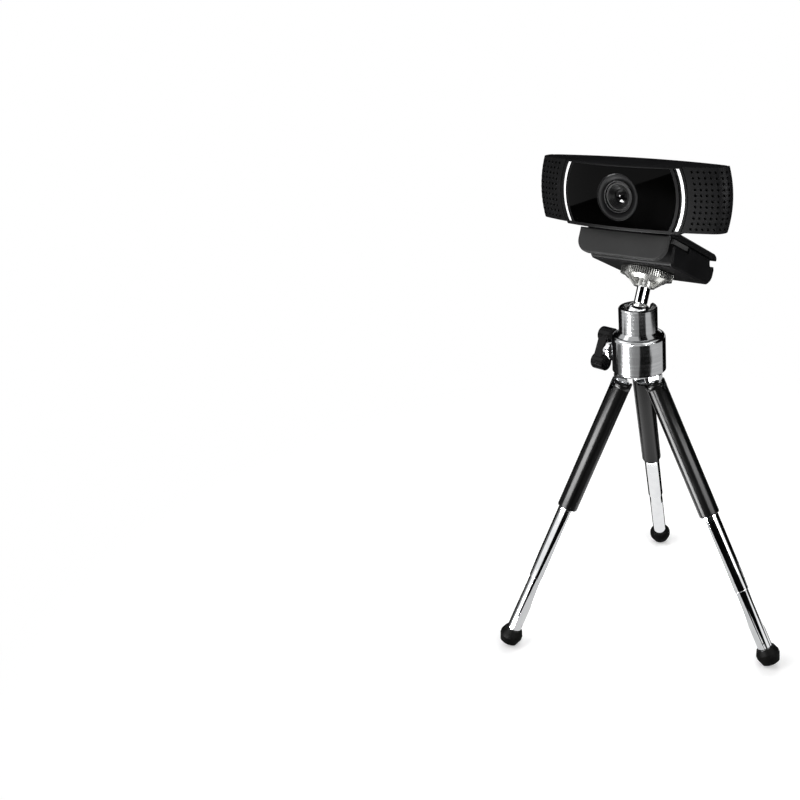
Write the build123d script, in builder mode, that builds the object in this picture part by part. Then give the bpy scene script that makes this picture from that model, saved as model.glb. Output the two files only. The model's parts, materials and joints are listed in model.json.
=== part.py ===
from build123d import *
import os
from math import acos, asin, cos, radians, sin, sqrt, tan

# Webcam on a small three-legged stand, millimetres, +Z up.
# The origin is on the floor under the stand's upright axis; the lens looks towards -Y.

# Clearances
running_fit = 0.05
pressed_fit = 0.02
seat_gap = 0.1
moving_gap = 0.3
clip_gap = 0.4

# Stance of the stand
leg_azimuths = {"rear": 113.0, "front_left": 233.0, "front_right": 353.0}
leg_splay = 27.0
leg_reach = 133.25
foot_dome_radius = 8.0
pivot_radius = 9.4
pivot_drop = 5.9

# Leg tubes, drawn out from the pivot
lower_tube_radius = 3.45
lower_tube_wall = 0.45
middle_tube_wall = 0.3
outer_tube_wall = 0.95
outer_tube_start = 1.3
outer_tube_end = 65.0
outer_tube_round = 0.8
middle_tube_length = 52.0
middle_tube_out = {"rear": 32.0, "front_left": 38.0, "front_right": 38.0}
lower_tube_overlap = 14.05
slide_plug_head = 1.2
slide_plug_spigot = 2.5

# Feet
foot_radius = 5.5
foot_height = 8.7
foot_top_radius = 4.3
foot_widest_from_top = 2.6
foot_band = 1.6
foot_dome_edge_radius = 4.2
foot_socket_depth = 5.4

# Leg clevises, pins and tongues
clevis_top = 2.6
clevis_spigot = 9.7
clevis_chamfer = 0.4
tongue_radius = 2.7
tongue_thickness = 3.0
leg_pin_radius = 1.0
leg_pin_length = 9.0

# Head
head_body_radius = 12.4
head_body_height = 18.0
head_shoulder_rise = 1.5
head_shoulder_round = 1.8
head_collar_radius = 8.9
head_collar_height = 11.4
head_edge = 0.8
rim_edge = 0.5
spider_radius = 10.4
spider_thickness = 2.0
spider_screw_circle = 8.3
spider_screw_radius = 1.0
spider_screw_head_radius = 1.9
spider_screw_length = 4.0
spider_screw_turn = 60.0
spider_screw_head_height = 1.0

# Ball, stem and wheel
ball_radius = 6.0
ball_drop = 3.8
ball_lip_angle = 68.0
ball_seat_drop = 3.0
ball_tilt_limit = 35.0
stem_radius = 3.1
stem_tilt = 28.0
stud_top = 27.0
stud_chamfer = 0.6
wheel_radius = 12.0
wheel_rim_height = 3.0
wheel_top = 20.2
wheel_hub_radius = 4.8
wheel_hub_drop = 4.6
wheel_pocket_drop = 1.6
wheel_dish = 0.5
wheel_teeth = 72
wheel_tooth_depth = 0.45
wheel_spokes = 6
wheel_spoke_width = 2.2

# Lock knob
lock_azimuth = 172.0
lock_height = 6.4
lock_screw_radius = 2.0
lock_groove_depth = 2.0
knob_flange_radius = 4.8
knob_flange = 1.6
knob_neck_radius = 3.3
knob_neck = 6.6
knob_wing_length = 20.5
knob_wing_width = 6.6
knob_wing_depth = 4.6
knob_wing_turn = 27.0
knob_wing_round = 0.9
knob_lobe_radius = 3.8
knob_lobe_rise = 1.2

# Clip, measured along the stem from the ball centre and rearwards from the stem
clip_half_width = 21.0
arm_bottom = 20.5
arm_front = 19.8
arm_front_rake = 2.3
arm_rear = 24.0
arm_round = 2.2
arm_rear_round = 5.5
arm_pad_length = 15.0
arm_pad_thickness = 2.0
arm_edge = 0.8
arm_side_slot = 1.2
arm_hinge_height = 32.2
arm_knuckle_radius = 2.2
insert_radius = 5.0
insert_length = 7.5
base_thickness = 2.8
base_edge = 0.6
arm_hinge_back = 21.5
arm_hinge_pin_radius = 1.0
arm_knuckle_half = 5.0
base_knuckle_end = 12.0
hinge_side_gap = 0.3
lip_half_width = 22.0
lip_front = 29.0
lip_thickness = 2.8
lip_height = 11.1
lip_corner = 6.0
lip_pad_thickness = 1.0
lip_pad_border = 2.4
lip_flange = 1.6
lip_edge = 0.8

# Tilt hinge between the clip and the webcam
tilt_hinge_front = 23.3
tilt_hinge_drop = 0.9
tilt_barrel_radius = 2.5
tilt_barrel_end = 20.0
tilt_pin_radius = 1.0
tilt_lug_half = 7.0
tilt_washer_thickness = 0.5
tilt_washer_radius = 2.2
tilt_lug_radius = 2.5

# Webcam, measured from the middle of its front face
cam_hinge_depth = 10.69
cam_hinge_gap = 4.075
cam_pitch = 3.8
cam_top = 13.8
cam_bottom = 13.4
cam_depth = 24.0
front_sphere_radius = 120.0
nose_reach = 47.0
nose_radius = 5.5
housing_wall = 1.8
housing_edge = 1.4

# Front bezel, face plate and light pipes
bezel_reach = 31.3
bezel_bottom = 14.4
bezel_back = 9.5
bezel_wall = 1.6
bezel_edge = 0.7
plate_reach = 26.6
plate_half_height = 12.7
plate_back = 4.1
pipe_inner = 28.0
pipe_outer = 30.2
pipe_half_height = 13.0
pipe_recess = 1.0
pipe_thickness = 2.4
dish_radius = 9.8
dish_depth = 1.3

# Microphone grilles
grille_inner = 31.6
grille_wall = 1.5
grille_wrap = 35.0
grille_hole_radius = 0.6
grille_pitch = 2.35
grille_rows = 11
grille_columns = 8
grille_first_column = 34.6
grille_hole_depth = 0.9

# Lens and electronics
ring_radius = 6.85
ring_wall = 0.5
ring_proud = 0.3
shroud_radius = 6.05
shroud_mouth = 1.5
shroud_floor = 3.6
barrel_radius = 4.1
barrel_back = 9.4
glass_radius = 3.1
glass_bulge = 0.8
glass_seat = 1.2
barrel_wall = 0.8
focus_half_width = 6.5
focus_front = 5.0
focus_travel = 0.4
board_front = 13.4
board_thickness = 1.2
board_half_length = 32.0
board_half_height = 9.0
sensor_half_width = 3.5
sensor_thickness = 1.4
led_half_width = 1.2
boss_radius = 2.2
boss_x = 22.0
boss_z = 6.5
screw_radius = 1.0
screw_head_radius = 1.9
screw_head_height = 1.2
screw_length = 7.0
mic_board_inset = 10.0
mic_board_half_width = 3.0
mic_board_thickness = 1.2
mic_board_depth = 11.5
gland_x = 12.0
gland_z = -4.0
gland_radius = 3.6
gland_flange_radius = 4.8
gland_flange = 1.2
gland_bore = 1.9


# Worked-out sizes and places
middle_tube_radius = lower_tube_radius + running_fit + middle_tube_wall
outer_tube_bore = middle_tube_radius + running_fit
outer_tube_radius = outer_tube_bore + outer_tube_wall
pivot_height = leg_reach * cos(radians(leg_splay)) + foot_dome_radius
head_bottom = pivot_height + pivot_drop
head_body_top = head_bottom + head_body_height
head_collar_base = head_body_top + head_shoulder_rise
rim_height = head_collar_base + head_collar_height
ball_height = rim_height - ball_drop
socket_radius = ball_radius + running_fit
lock_axis_height = head_bottom + lock_height
foot_bottom = leg_reach + foot_dome_radius
foot_top = foot_bottom - foot_height
lower_tube_end = foot_top + foot_socket_depth
lower_tube_length = lower_tube_end - outer_tube_end - max(middle_tube_out.values()) + lower_tube_overlap
arm_top = arm_hinge_height
base_bottom = arm_top + clip_gap
tilt_hinge_height = base_bottom - tilt_hinge_drop
lip_top = tilt_hinge_height - seat_gap
lip_bottom = lip_top - lip_height
cam_hinge_drop = cam_bottom + cam_hinge_gap

stem = Plane(
    origin=(0, 0, ball_height),
    x_dir=(1, 0, 0),
    z_dir=(0, sin(radians(stem_tilt)), cos(radians(stem_tilt))),
)
cam_hinge = Plane(
    origin=stem.from_local_coords((0, -tilt_hinge_front, tilt_hinge_height)),
    x_dir=(1, 0, 0),
    z_dir=(0, sin(radians(cam_pitch)), cos(radians(cam_pitch))),
)
cam = Plane(
    origin=cam_hinge.from_local_coords((0, -cam_hinge_depth, cam_hinge_drop)),
    x_dir=cam_hinge.x_dir,
    z_dir=cam_hinge.z_dir,
)
lens_axis = Axis(cam.origin, cam.y_dir)
UPWARD = (Align.CENTER, Align.CENTER, Align.MIN)


def profile_plane(base):
    """Plane for a turned outline: x is the radius, y runs along the base plane's normal."""
    return Plane(origin=base.origin, x_dir=base.x_dir, z_dir=-base.y_dir)


def side_plane(base):
    """Plane seen from +X: x runs along the base plane's y, y along its normal."""
    return Plane(origin=base.origin, x_dir=base.y_dir, z_dir=base.x_dir)


def cam_face(depth):
    """Plane square to the lens axis at a depth behind the front face, facing forwards."""
    return Plane(origin=cam.from_local_coords((0, depth, 0)), x_dir=cam.x_dir, z_dir=-cam.y_dir)


def cam_at(x, depth, z):
    """Plane parallel to the webcam's own, at a point measured in the webcam."""
    return Plane(origin=cam.from_local_coords((x, depth, z)), x_dir=cam.x_dir, z_dir=cam.z_dir)


def front_depth(reach):
    """Depth of the domed front at a distance from the lens axis."""
    return front_sphere_radius - sqrt(front_sphere_radius**2 - reach**2)


def finish(piece, name):
    """Labels a piece and writes it to its own file."""
    piece.part.label = name
    export_step(piece.part, f"parts/{name}.step")


os.makedirs("parts", exist_ok=True)


# Head of the stand
mouth_radius = (
    ball_drop * tan(radians(ball_tilt_limit)) + stem_radius / cos(radians(ball_tilt_limit)) + moving_gap
)
lip_r = socket_radius * sin(radians(ball_lip_angle))
lip_z = ball_height + socket_radius * cos(radians(ball_lip_angle))
lip_mid_angle = radians((ball_lip_angle + 90) / 2)
spider_top = head_bottom + spider_thickness
lock_plane = Plane(
    origin=(0, 0, lock_axis_height),
    x_dir=(0, 0, 1),
    z_dir=(cos(radians(lock_azimuth)), sin(radians(lock_azimuth)), 0),
)
lock_axis = Axis(lock_plane.origin, lock_plane.z_dir)

with BuildPart() as head_body:
    with BuildSketch(Plane.XZ):
        with BuildLine():
            outer = Polyline(
                (socket_radius, ball_height),
                (socket_radius, spider_top),
                (spider_radius + seat_gap, spider_top),
                (spider_radius + seat_gap, head_bottom),
                (head_body_radius - head_edge, head_bottom),
                (head_body_radius, head_bottom + head_edge),
                (head_body_radius, head_body_top - head_shoulder_round),
            )
            shoulder = RadiusArc(
                outer @ 1,
                (head_body_radius - head_shoulder_round, head_body_top),
                -head_shoulder_round,
            )
            collar = Polyline(
                shoulder @ 1,
                (head_collar_radius, head_collar_base),
                (head_collar_radius, rim_height - rim_edge),
                (head_collar_radius - rim_edge, rim_height),
                (mouth_radius, rim_height),
                (lip_r, lip_z),
            )
            ThreePointArc(
                collar @ 1,
                (
                    socket_radius * sin(lip_mid_angle),
                    ball_height + socket_radius * cos(lip_mid_angle),
                ),
                outer @ 0,
            )
        make_face()
    revolve(axis=Axis.Z)
    with BuildSketch(Plane.XZ.offset(-head_body_radius)):
        with Locations((0, ball_height)):
            Circle(stem_radius + moving_gap)
            Rectangle(
                2 * (stem_radius + moving_gap),
                ball_drop + rim_edge,
                align=(Align.CENTER, Align.MIN),
            )
    extrude(amount=head_body_radius, mode=Mode.SUBTRACT)
    with BuildSketch(lock_plane):
        Circle(lock_screw_radius + running_fit)
    extrude(amount=head_body_radius + moving_gap, mode=Mode.SUBTRACT)
    with BuildSketch(Plane.XY.offset(spider_top)):
        with PolarLocations(spider_screw_circle, 3, start_angle=leg_azimuths["rear"] + spider_screw_turn):
            Circle(spider_screw_radius + pressed_fit)
    extrude(amount=spider_screw_length - spider_thickness + seat_gap, mode=Mode.SUBTRACT)
finish(head_body, "head_body")

# Ball seat: a plunger with a cupped top and a groove for the lock screw's point
seat_radius = socket_radius - running_fit
seat_bottom = spider_top + moving_gap
seat_top = ball_height - ball_seat_drop
seat_cup_edge = sqrt(socket_radius**2 - ball_seat_drop**2)
groove_half = lock_groove_depth + seat_gap
with BuildPart() as ball_seat:
    with BuildSketch(Plane.XZ):
        with BuildLine():
            wall = Polyline(
                (0, ball_height - socket_radius),
                (0, seat_bottom),
                (seat_radius, seat_bottom),
                (seat_radius, lock_axis_height - groove_half),
                (seat_radius - lock_groove_depth, lock_axis_height),
                (seat_radius, lock_axis_height + groove_half),
                (seat_radius, seat_top),
                (seat_cup_edge, seat_top),
            )
            cup_mid = acos(ball_seat_drop / socket_radius) / 2
            ThreePointArc(
                wall @ 1,
                (socket_radius * sin(cup_mid), ball_height - socket_radius * cos(cup_mid)),
                wall @ 0,
            )
        make_face()
    revolve(axis=Axis.Z)
finish(ball_seat, "ball_seat")

# Ball, stem and stud in one piece
stem_foot = sqrt(ball_radius**2 - stem_radius**2)
with BuildPart() as ball_stem:
    with BuildSketch(profile_plane(stem)):
        with BuildLine():
            shaft = Polyline(
                (stem_radius, stem_foot),
                (stem_radius, stud_top - stud_chamfer),
                (stem_radius - stud_chamfer, stud_top),
                (0, stud_top),
                (0, -ball_radius),
            )
            ThreePointArc(shaft @ 1, (ball_radius, 0), shaft @ 0)
        make_face()
    revolve(axis=Axis(stem.origin, stem.z_dir))
finish(ball_stem, "ball_stem")

# Knurled locking wheel, spoked underneath
wheel_bottom = wheel_top - wheel_rim_height
wheel_bore = stem_radius + running_fit
with BuildPart() as locking_wheel:
    with BuildSketch(profile_plane(stem)):
        with BuildLine():
            Polyline(
                (wheel_bore, wheel_bottom - wheel_hub_drop),
                (wheel_hub_radius, wheel_bottom - wheel_hub_drop),
                (wheel_radius - wheel_rim_height / 2, wheel_bottom),
                (wheel_radius, wheel_bottom),
                (wheel_radius, wheel_top),
                (wheel_radius - wheel_rim_height / 2, wheel_top),
                (wheel_radius - wheel_rim_height / 2 - wheel_dish, wheel_top - wheel_dish),
                (wheel_bore, wheel_top - wheel_dish),
                close=True,
            )
        make_face()
    revolve(axis=Axis(stem.origin, stem.z_dir))
    with BuildSketch(stem.offset(wheel_bottom)):
        with PolarLocations(wheel_radius, wheel_teeth):
            RegularPolygon(wheel_tooth_depth, 3, rotation=180)
    extrude(amount=wheel_rim_height, mode=Mode.SUBTRACT)
    with BuildSketch(stem.offset(wheel_bottom - wheel_hub_drop)):
        Circle(wheel_radius - wheel_rim_height / 2)
        Circle(wheel_hub_radius, mode=Mode.SUBTRACT)
        with PolarLocations(0, wheel_spokes):
            Rectangle(
                wheel_radius,
                wheel_spoke_width,
                align=(Align.MIN, Align.CENTER),
                mode=Mode.SUBTRACT,
            )
    extrude(amount=wheel_hub_drop - wheel_pocket_drop, mode=Mode.SUBTRACT)
finish(locking_wheel, "locking_wheel")

# Lock screw and its winged knob
screw_tip = seat_radius - lock_groove_depth + moving_gap
knob_base = head_body_radius + moving_gap
knob_top = knob_base + knob_flange + knob_neck
wing_base = knob_top - knob_wing_depth / 2
lobe_reach = knob_wing_length / 2 - knob_lobe_radius
with BuildPart() as lock_screw:
    with BuildSketch(profile_plane(lock_plane)):
        with BuildLine():
            Polyline(
                (0, screw_tip),
                (lock_screw_radius, screw_tip + lock_screw_radius),
                (lock_screw_radius, knob_base + knob_neck),
                (0, knob_base + knob_neck),
                close=True,
            )
        make_face()
    revolve(axis=lock_axis)
finish(lock_screw, "lock_screw")

with BuildPart() as lock_knob:
    with BuildSketch(profile_plane(lock_plane)):
        with BuildLine():
            skirt = Polyline(
                (0, knob_top),
                (0, knob_base),
                (knob_flange_radius, knob_base),
                (knob_flange_radius, knob_base + knob_flange),
            )
            RadiusArc(skirt @ 1, (knob_neck_radius, knob_top), 2 * knob_neck)
            Line((knob_neck_radius, knob_top), skirt @ 0)
        make_face()
    revolve(axis=lock_axis)
    with BuildSketch(lock_plane.offset(wing_base)):
        SlotOverall(knob_wing_length, knob_wing_width, rotation=knob_wing_turn)
    extrude(amount=knob_wing_depth)
    with BuildSketch(lock_plane.offset(wing_base - knob_lobe_rise)):
        with PolarLocations(lobe_reach, 2, start_angle=knob_wing_turn):
            Circle(knob_lobe_radius)
    extrude(amount=knob_wing_depth + 2 * knob_lobe_rise)
    wing_ends = lock_knob.faces().filter_by(GeomType.PLANE).group_by(lock_axis)
    fillet(wing_ends[-1].edges(), knob_wing_round)
    with BuildSketch(lock_plane.offset(knob_base)):
        Circle(lock_screw_radius + pressed_fit)
    extrude(amount=knob_neck + seat_gap, mode=Mode.SUBTRACT)
finish(lock_knob, "lock_knob")

# Spider that closes the head from below and carries the three leg tongues
with BuildPart() as leg_spider:
    with BuildSketch(Plane.XY.offset(head_bottom)):
        Circle(spider_radius)
    extrude(amount=spider_thickness)
    for azimuth in leg_azimuths.values():
        tongue_plane = Plane(
            origin=(0, 0, pivot_height),
            x_dir=(cos(radians(azimuth)), sin(radians(azimuth)), 0),
            z_dir=(sin(radians(azimuth)), -cos(radians(azimuth)), 0),
        )
        with BuildSketch(tongue_plane):
            with Locations((pivot_radius, 0)):
                Circle(tongue_radius)
                Rectangle(2 * tongue_radius, pivot_drop, align=(Align.CENTER, Align.MIN))
                Circle(leg_pin_radius + running_fit, mode=Mode.SUBTRACT)
        extrude(amount=tongue_thickness / 2, both=True)
    with BuildSketch(Plane.XY.offset(head_bottom)):
        with PolarLocations(spider_screw_circle, 3, start_angle=leg_azimuths["rear"] + spider_screw_turn):
            Circle(spider_screw_radius + pressed_fit)
    extrude(amount=spider_thickness, mode=Mode.SUBTRACT)
finish(leg_spider, "leg_spider")

with BuildPart() as spider_screws:
    with BuildSketch(Plane.XY.offset(head_bottom - spider_screw_head_height)):
        with PolarLocations(spider_screw_circle, 3, start_angle=leg_azimuths["rear"] + spider_screw_turn):
            Circle(spider_screw_head_radius)
    extrude(amount=spider_screw_head_height)
    with BuildSketch(Plane.XY.offset(head_bottom)):
        with PolarLocations(spider_screw_circle, 3, start_angle=leg_azimuths["rear"] + spider_screw_turn):
            Circle(spider_screw_radius)
    extrude(amount=spider_screw_length)
finish(spider_screws, "spider_screws")


# Legs, each on a plane at its pivot with the normal running down the leg
def leg_plane(azimuth):
    """Plane at a leg's pivot: x points outwards across the leg, z runs down it."""
    a = radians(azimuth)
    s = radians(leg_splay)
    return Plane(
        origin=(pivot_radius * cos(a), pivot_radius * sin(a), pivot_height),
        x_dir=(cos(a) * cos(s), sin(a) * cos(s), sin(s)),
        z_dir=(cos(a) * sin(s), sin(a) * sin(s), -cos(s)),
    )


slot_half = tongue_thickness / 2 + moving_gap
slot_floor = tongue_radius + moving_gap


def tube(base, start, length, radius, bore, end_round=0.0, slot_end=0.0):
    """Round tube along a leg, with its far outer edge rounded and its near end slotted for the tongue."""
    with BuildPart(base) as piece:
        with Locations((0, 0, start)):
            Cylinder(radius, length, align=UPWARD)
        if end_round:
            fillet(piece.edges().sort_by(Axis(base.origin, base.z_dir))[-1], end_round)
        with Locations((0, 0, start)):
            Cylinder(bore, length, align=UPWARD, mode=Mode.SUBTRACT)
            if slot_end:
                Box(2 * radius, 2 * slot_half, slot_end - start, align=UPWARD, mode=Mode.SUBTRACT)
    return piece


def slide_plug(base, tube_start, radius, bore):
    """Guide plug in the top end of a sliding tube."""
    with BuildPart(base) as piece:
        with Locations((0, 0, tube_start - slide_plug_head)):
            Cylinder(radius, slide_plug_head, align=UPWARD)
        with Locations((0, 0, tube_start)):
            Cylinder(bore - pressed_fit, slide_plug_spigot, align=UPWARD)
    return piece


for leg_name, azimuth in leg_azimuths.items():
    leg = leg_plane(azimuth)
    middle_end = outer_tube_end + middle_tube_out[leg_name]
    middle_start = middle_end - middle_tube_length
    middle_bore = lower_tube_radius + running_fit
    lower_start = lower_tube_end - lower_tube_length
    lower_bore = lower_tube_radius - lower_tube_wall

    with BuildPart(leg) as clevis:
        with Locations((0, 0, -clevis_top)):
            Cylinder(outer_tube_radius, clevis_top + outer_tube_start, align=UPWARD)
        chamfer(clevis.edges().sort_by(Axis(leg.origin, leg.z_dir))[0], clevis_chamfer)
        with Locations((0, 0, outer_tube_start)):
            Cylinder(outer_tube_bore - pressed_fit, clevis_spigot, align=UPWARD)
        with Locations((0, 0, -clevis_top)):
            Box(
                2 * outer_tube_radius,
                2 * slot_half,
                clevis_top + slot_floor,
                align=UPWARD,
                mode=Mode.SUBTRACT,
            )
        with Locations(Rotation(90, 0, 0)):
            Cylinder(leg_pin_radius + pressed_fit, 2 * outer_tube_radius, mode=Mode.SUBTRACT)
    finish(clevis, f"{leg_name}_leg_clevis")

    with BuildPart(leg) as leg_pin:
        with Locations(Rotation(90, 0, 0)):
            Cylinder(leg_pin_radius, leg_pin_length)
    finish(leg_pin, f"{leg_name}_leg_pin")

    outer_tube = tube(
        leg,
        outer_tube_start,
        outer_tube_end - outer_tube_start,
        outer_tube_radius,
        outer_tube_bore,
        outer_tube_round,
        slot_floor,
    )
    finish(outer_tube, f"{leg_name}_outer_tube")

    middle_tube = tube(leg, middle_start, middle_tube_length, middle_tube_radius, middle_bore)
    finish(middle_tube, f"{leg_name}_middle_tube")
    middle_plug = slide_plug(leg, middle_start, middle_tube_radius, middle_bore)
    finish(middle_plug, f"{leg_name}_middle_plug")

    lower_tube = tube(leg, lower_start, lower_tube_length, lower_tube_radius, lower_bore)
    finish(lower_tube, f"{leg_name}_lower_tube")
    lower_plug = slide_plug(leg, lower_start, lower_tube_radius, lower_bore)
    finish(lower_plug, f"{leg_name}_lower_plug")

    dome_edge = leg_reach + sqrt(foot_dome_radius**2 - foot_dome_edge_radius**2)
    dome_mid = asin(foot_dome_edge_radius / foot_dome_radius) / 2
    with BuildPart() as foot:
        with BuildSketch(profile_plane(leg)):
            with BuildLine():
                skirt = Polyline(
                    (0, foot_bottom),
                    (0, lower_tube_end),
                    (lower_tube_radius + pressed_fit, lower_tube_end),
                    (lower_tube_radius + pressed_fit, foot_top),
                    (foot_top_radius, foot_top),
                    (foot_radius, foot_top + foot_widest_from_top),
                    (foot_radius, foot_top + foot_widest_from_top + foot_band),
                    (foot_dome_edge_radius, dome_edge),
                )
                ThreePointArc(
                    skirt @ 1,
                    (foot_dome_radius * sin(dome_mid), leg_reach + foot_dome_radius * cos(dome_mid)),
                    skirt @ 0,
                )
            make_face()
        revolve(axis=Axis(leg.origin, leg.z_dir))
    finish(foot, f"{leg_name}_foot")

# Folding arm of the clip, carried on the stud
clip_side = side_plane(stem)
hinge_swing = base_bottom + base_thickness - arm_hinge_height
insert_bore = stem_radius + running_fit
pad_bottom = arm_top - arm_pad_thickness
rear_wall = arm_top - arm_bottom - hinge_swing - moving_gap
with BuildPart() as clip_arm:
    with BuildSketch(clip_side) as arm_profile:
        with BuildLine():
            Polyline(
                (-arm_front, arm_top),
                (-arm_front + arm_front_rake, arm_bottom),
                (arm_rear, arm_bottom),
                (arm_rear, arm_top),
                close=True,
            )
        make_face()
        low_corners = arm_profile.vertices().group_by(Axis.Y)[0].sort_by(Axis.X)
        fillet(low_corners[0], arm_round)
        rear_corner = arm_profile.vertices().group_by(Axis.Y)[0].sort_by(Axis.X)[-1]
        fillet(rear_corner, min(arm_rear_round, rear_wall - 2 * arm_edge))
        with Locations((arm_hinge_back, arm_hinge_height)):
            Circle(hinge_swing + moving_gap, mode=Mode.SUBTRACT)
    extrude(amount=clip_half_width, both=True)
    chamfer(clip_arm.faces().sort_by(Axis.X)[0].edges(), arm_edge)
    chamfer(clip_arm.faces().sort_by(Axis.X)[-1].edges(), arm_edge)
    with BuildSketch(clip_side):
        with Locations((arm_hinge_back, arm_hinge_height)):
            Circle(arm_knuckle_radius)
            Rectangle(
                hinge_swing + 2 * moving_gap,
                arm_knuckle_radius,
                align=(Align.MAX, Align.MAX),
            )
            Circle(arm_hinge_pin_radius + running_fit, mode=Mode.SUBTRACT)
    extrude(amount=arm_knuckle_half, both=True)
    with BuildSketch(clip_side):
        with Locations((-arm_front, arm_top)):
            Rectangle(arm_pad_length, arm_pad_thickness, align=(Align.MIN, Align.MAX))
    extrude(amount=clip_half_width, both=True, mode=Mode.SUBTRACT)
    for side in (-1, 1):
        with BuildSketch(clip_side.offset(side * clip_half_width)):
            with Locations((-arm_front, pad_bottom)):
                Rectangle(arm_pad_length, arm_side_slot, align=(Align.MIN, Align.MAX))
        extrude(amount=-side * arm_side_slot, mode=Mode.SUBTRACT)
    with BuildSketch(stem.offset(arm_bottom)):
        Circle(insert_radius + pressed_fit)
    extrude(amount=insert_length, mode=Mode.SUBTRACT)
finish(clip_arm, "clip_arm")

with BuildPart() as arm_pad:
    with BuildSketch(clip_side):
        with Locations((-arm_front, arm_top)):
            Rectangle(arm_pad_length, arm_pad_thickness, align=(Align.MIN, Align.MAX))
    extrude(amount=clip_half_width - arm_edge, both=True)
finish(arm_pad, "arm_pad")

with BuildPart() as thread_insert:
    with BuildSketch(stem.offset(arm_bottom)):
        Circle(insert_radius)
        Circle(insert_bore, mode=Mode.SUBTRACT)
    extrude(amount=insert_length)
finish(thread_insert, "thread_insert")

# Clip base: upper plate, rear hinge knuckles, front hinge barrels and the flange for the lip
lip_back = lip_front - lip_thickness
barrel_start = tilt_lug_half + tilt_washer_thickness + 2 * seat_gap
base_top = base_bottom + base_thickness
with BuildPart() as clip_base:
    with BuildSketch(stem.offset(base_bottom)) as plate_outline:
        with Locations((0, -tilt_hinge_front)):
            Rectangle(
                2 * clip_half_width,
                tilt_hinge_front + arm_hinge_back,
                align=(Align.CENTER, Align.MIN),
            )
    extrude(amount=base_thickness)
    with BuildSketch(clip_side):
        with Locations((arm_hinge_back, arm_hinge_height)):
            Circle(hinge_swing)
            Rectangle(2 * hinge_swing, 2 * hinge_swing, align=(Align.MAX, Align.CENTER), mode=Mode.SUBTRACT)
        with Locations((arm_hinge_back, base_bottom)):
            Rectangle(4 * hinge_swing, 2 * hinge_swing, align=(Align.CENTER, Align.MAX), mode=Mode.SUBTRACT)
    extrude(amount=clip_half_width, both=True)
    chamfer(clip_base.faces().sort_by(Axis.X)[0].edges(), base_edge)
    chamfer(clip_base.faces().sort_by(Axis.X)[-1].edges(), base_edge)
    for side in (-1, 1):
        with BuildSketch(clip_side.offset(side * (arm_knuckle_half + hinge_side_gap))):
            with Locations((arm_hinge_back, arm_hinge_height)):
                Circle(arm_knuckle_radius)
                Rectangle(2 * arm_knuckle_radius, arm_knuckle_radius, align=(Align.CENTER, Align.MIN))
        extrude(amount=side * (base_knuckle_end - arm_knuckle_half - hinge_side_gap))
        with BuildSketch(clip_side.offset(side * barrel_start)):
            with Locations((-tilt_hinge_front, tilt_hinge_height)):
                Circle(tilt_barrel_radius)
                Rectangle(
                    lip_back - tilt_hinge_front,
                    lip_flange,
                    align=(Align.MAX, Align.MAX),
                )
        extrude(amount=side * (tilt_barrel_end - barrel_start))
    with BuildSketch(clip_side):
        with Locations((arm_hinge_back, arm_hinge_height)):
            Circle(arm_knuckle_radius + moving_gap)
    extrude(amount=arm_knuckle_half + hinge_side_gap, both=True, mode=Mode.SUBTRACT)
    with BuildSketch(clip_side):
        with Locations((-tilt_hinge_front, tilt_hinge_height)):
            Circle(tilt_lug_radius + moving_gap)
            Rectangle(
                2 * (tilt_lug_radius + moving_gap),
                base_top,
                align=(Align.CENTER, Align.MIN),
            )
    extrude(amount=barrel_start, both=True, mode=Mode.SUBTRACT)
    with BuildSketch(clip_side):
        with Locations((arm_hinge_back, arm_hinge_height)):
            Circle(arm_hinge_pin_radius + pressed_fit)
        with Locations((-tilt_hinge_front, tilt_hinge_height)):
            Circle(tilt_pin_radius + pressed_fit)
    extrude(amount=clip_half_width, both=True, mode=Mode.SUBTRACT)
finish(clip_base, "clip_base")

with BuildPart() as front_lip:
    with BuildSketch(profile_plane(stem).offset(lip_front)) as lip_outline:
        with Locations((0, lip_bottom)):
            Rectangle(2 * lip_half_width, lip_top - lip_bottom, align=(Align.CENTER, Align.MIN))
        fillet(lip_outline.vertices().group_by(Axis.Y)[0], lip_corner)
    extrude(amount=-lip_thickness)
    fillet(front_lip.faces().sort_by(Axis(stem.origin, stem.y_dir))[0].edges(), lip_edge)
finish(front_lip, "front_lip")

with BuildPart() as lip_pad:
    with BuildSketch(profile_plane(stem).offset(lip_back)) as pad_outline:
        with Locations((0, lip_bottom + lip_pad_border)):
            Rectangle(
                2 * (lip_half_width - lip_pad_border),
                tilt_hinge_height - lip_flange - 2 * lip_pad_border - lip_bottom,
                align=(Align.CENTER, Align.MIN),
            )
        fillet(pad_outline.vertices().group_by(Axis.Y)[0], lip_corner - lip_pad_border)
    extrude(amount=-lip_pad_thickness)
finish(lip_pad, "lip_pad")

with BuildPart() as arm_hinge_pin:
    with BuildSketch(clip_side):
        with Locations((arm_hinge_back, arm_hinge_height)):
            Circle(arm_hinge_pin_radius)
    extrude(amount=base_knuckle_end, both=True)
finish(arm_hinge_pin, "arm_hinge_pin")

with BuildPart() as tilt_hinge_pin:
    with BuildSketch(clip_side):
        with Locations((-tilt_hinge_front, tilt_hinge_height)):
            Circle(tilt_pin_radius)
    extrude(amount=tilt_barrel_end, both=True)
finish(tilt_hinge_pin, "tilt_hinge_pin")

with BuildPart() as tilt_washers:
    for side in (-1, 1):
        with BuildSketch(clip_side.offset(side * (tilt_lug_half + seat_gap))):
            with Locations((-tilt_hinge_front, tilt_hinge_height)):
                Circle(tilt_washer_radius)
                Circle(tilt_pin_radius + running_fit, mode=Mode.SUBTRACT)
        extrude(amount=side * tilt_washer_thickness)
finish(tilt_washers, "tilt_washers")


# Webcam body: everything is turned about the lens axis and cut flat at the top and bottom
def cam_slab(bottom, top):
    """Keeps what lies between two levels of the webcam."""
    with Locations(cam_at(0, 0, -bottom)):
        Box(
            4 * nose_reach,
            4 * cam_depth,
            bottom + top,
            align=UPWARD,
            mode=Mode.INTERSECT,
        )


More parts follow.
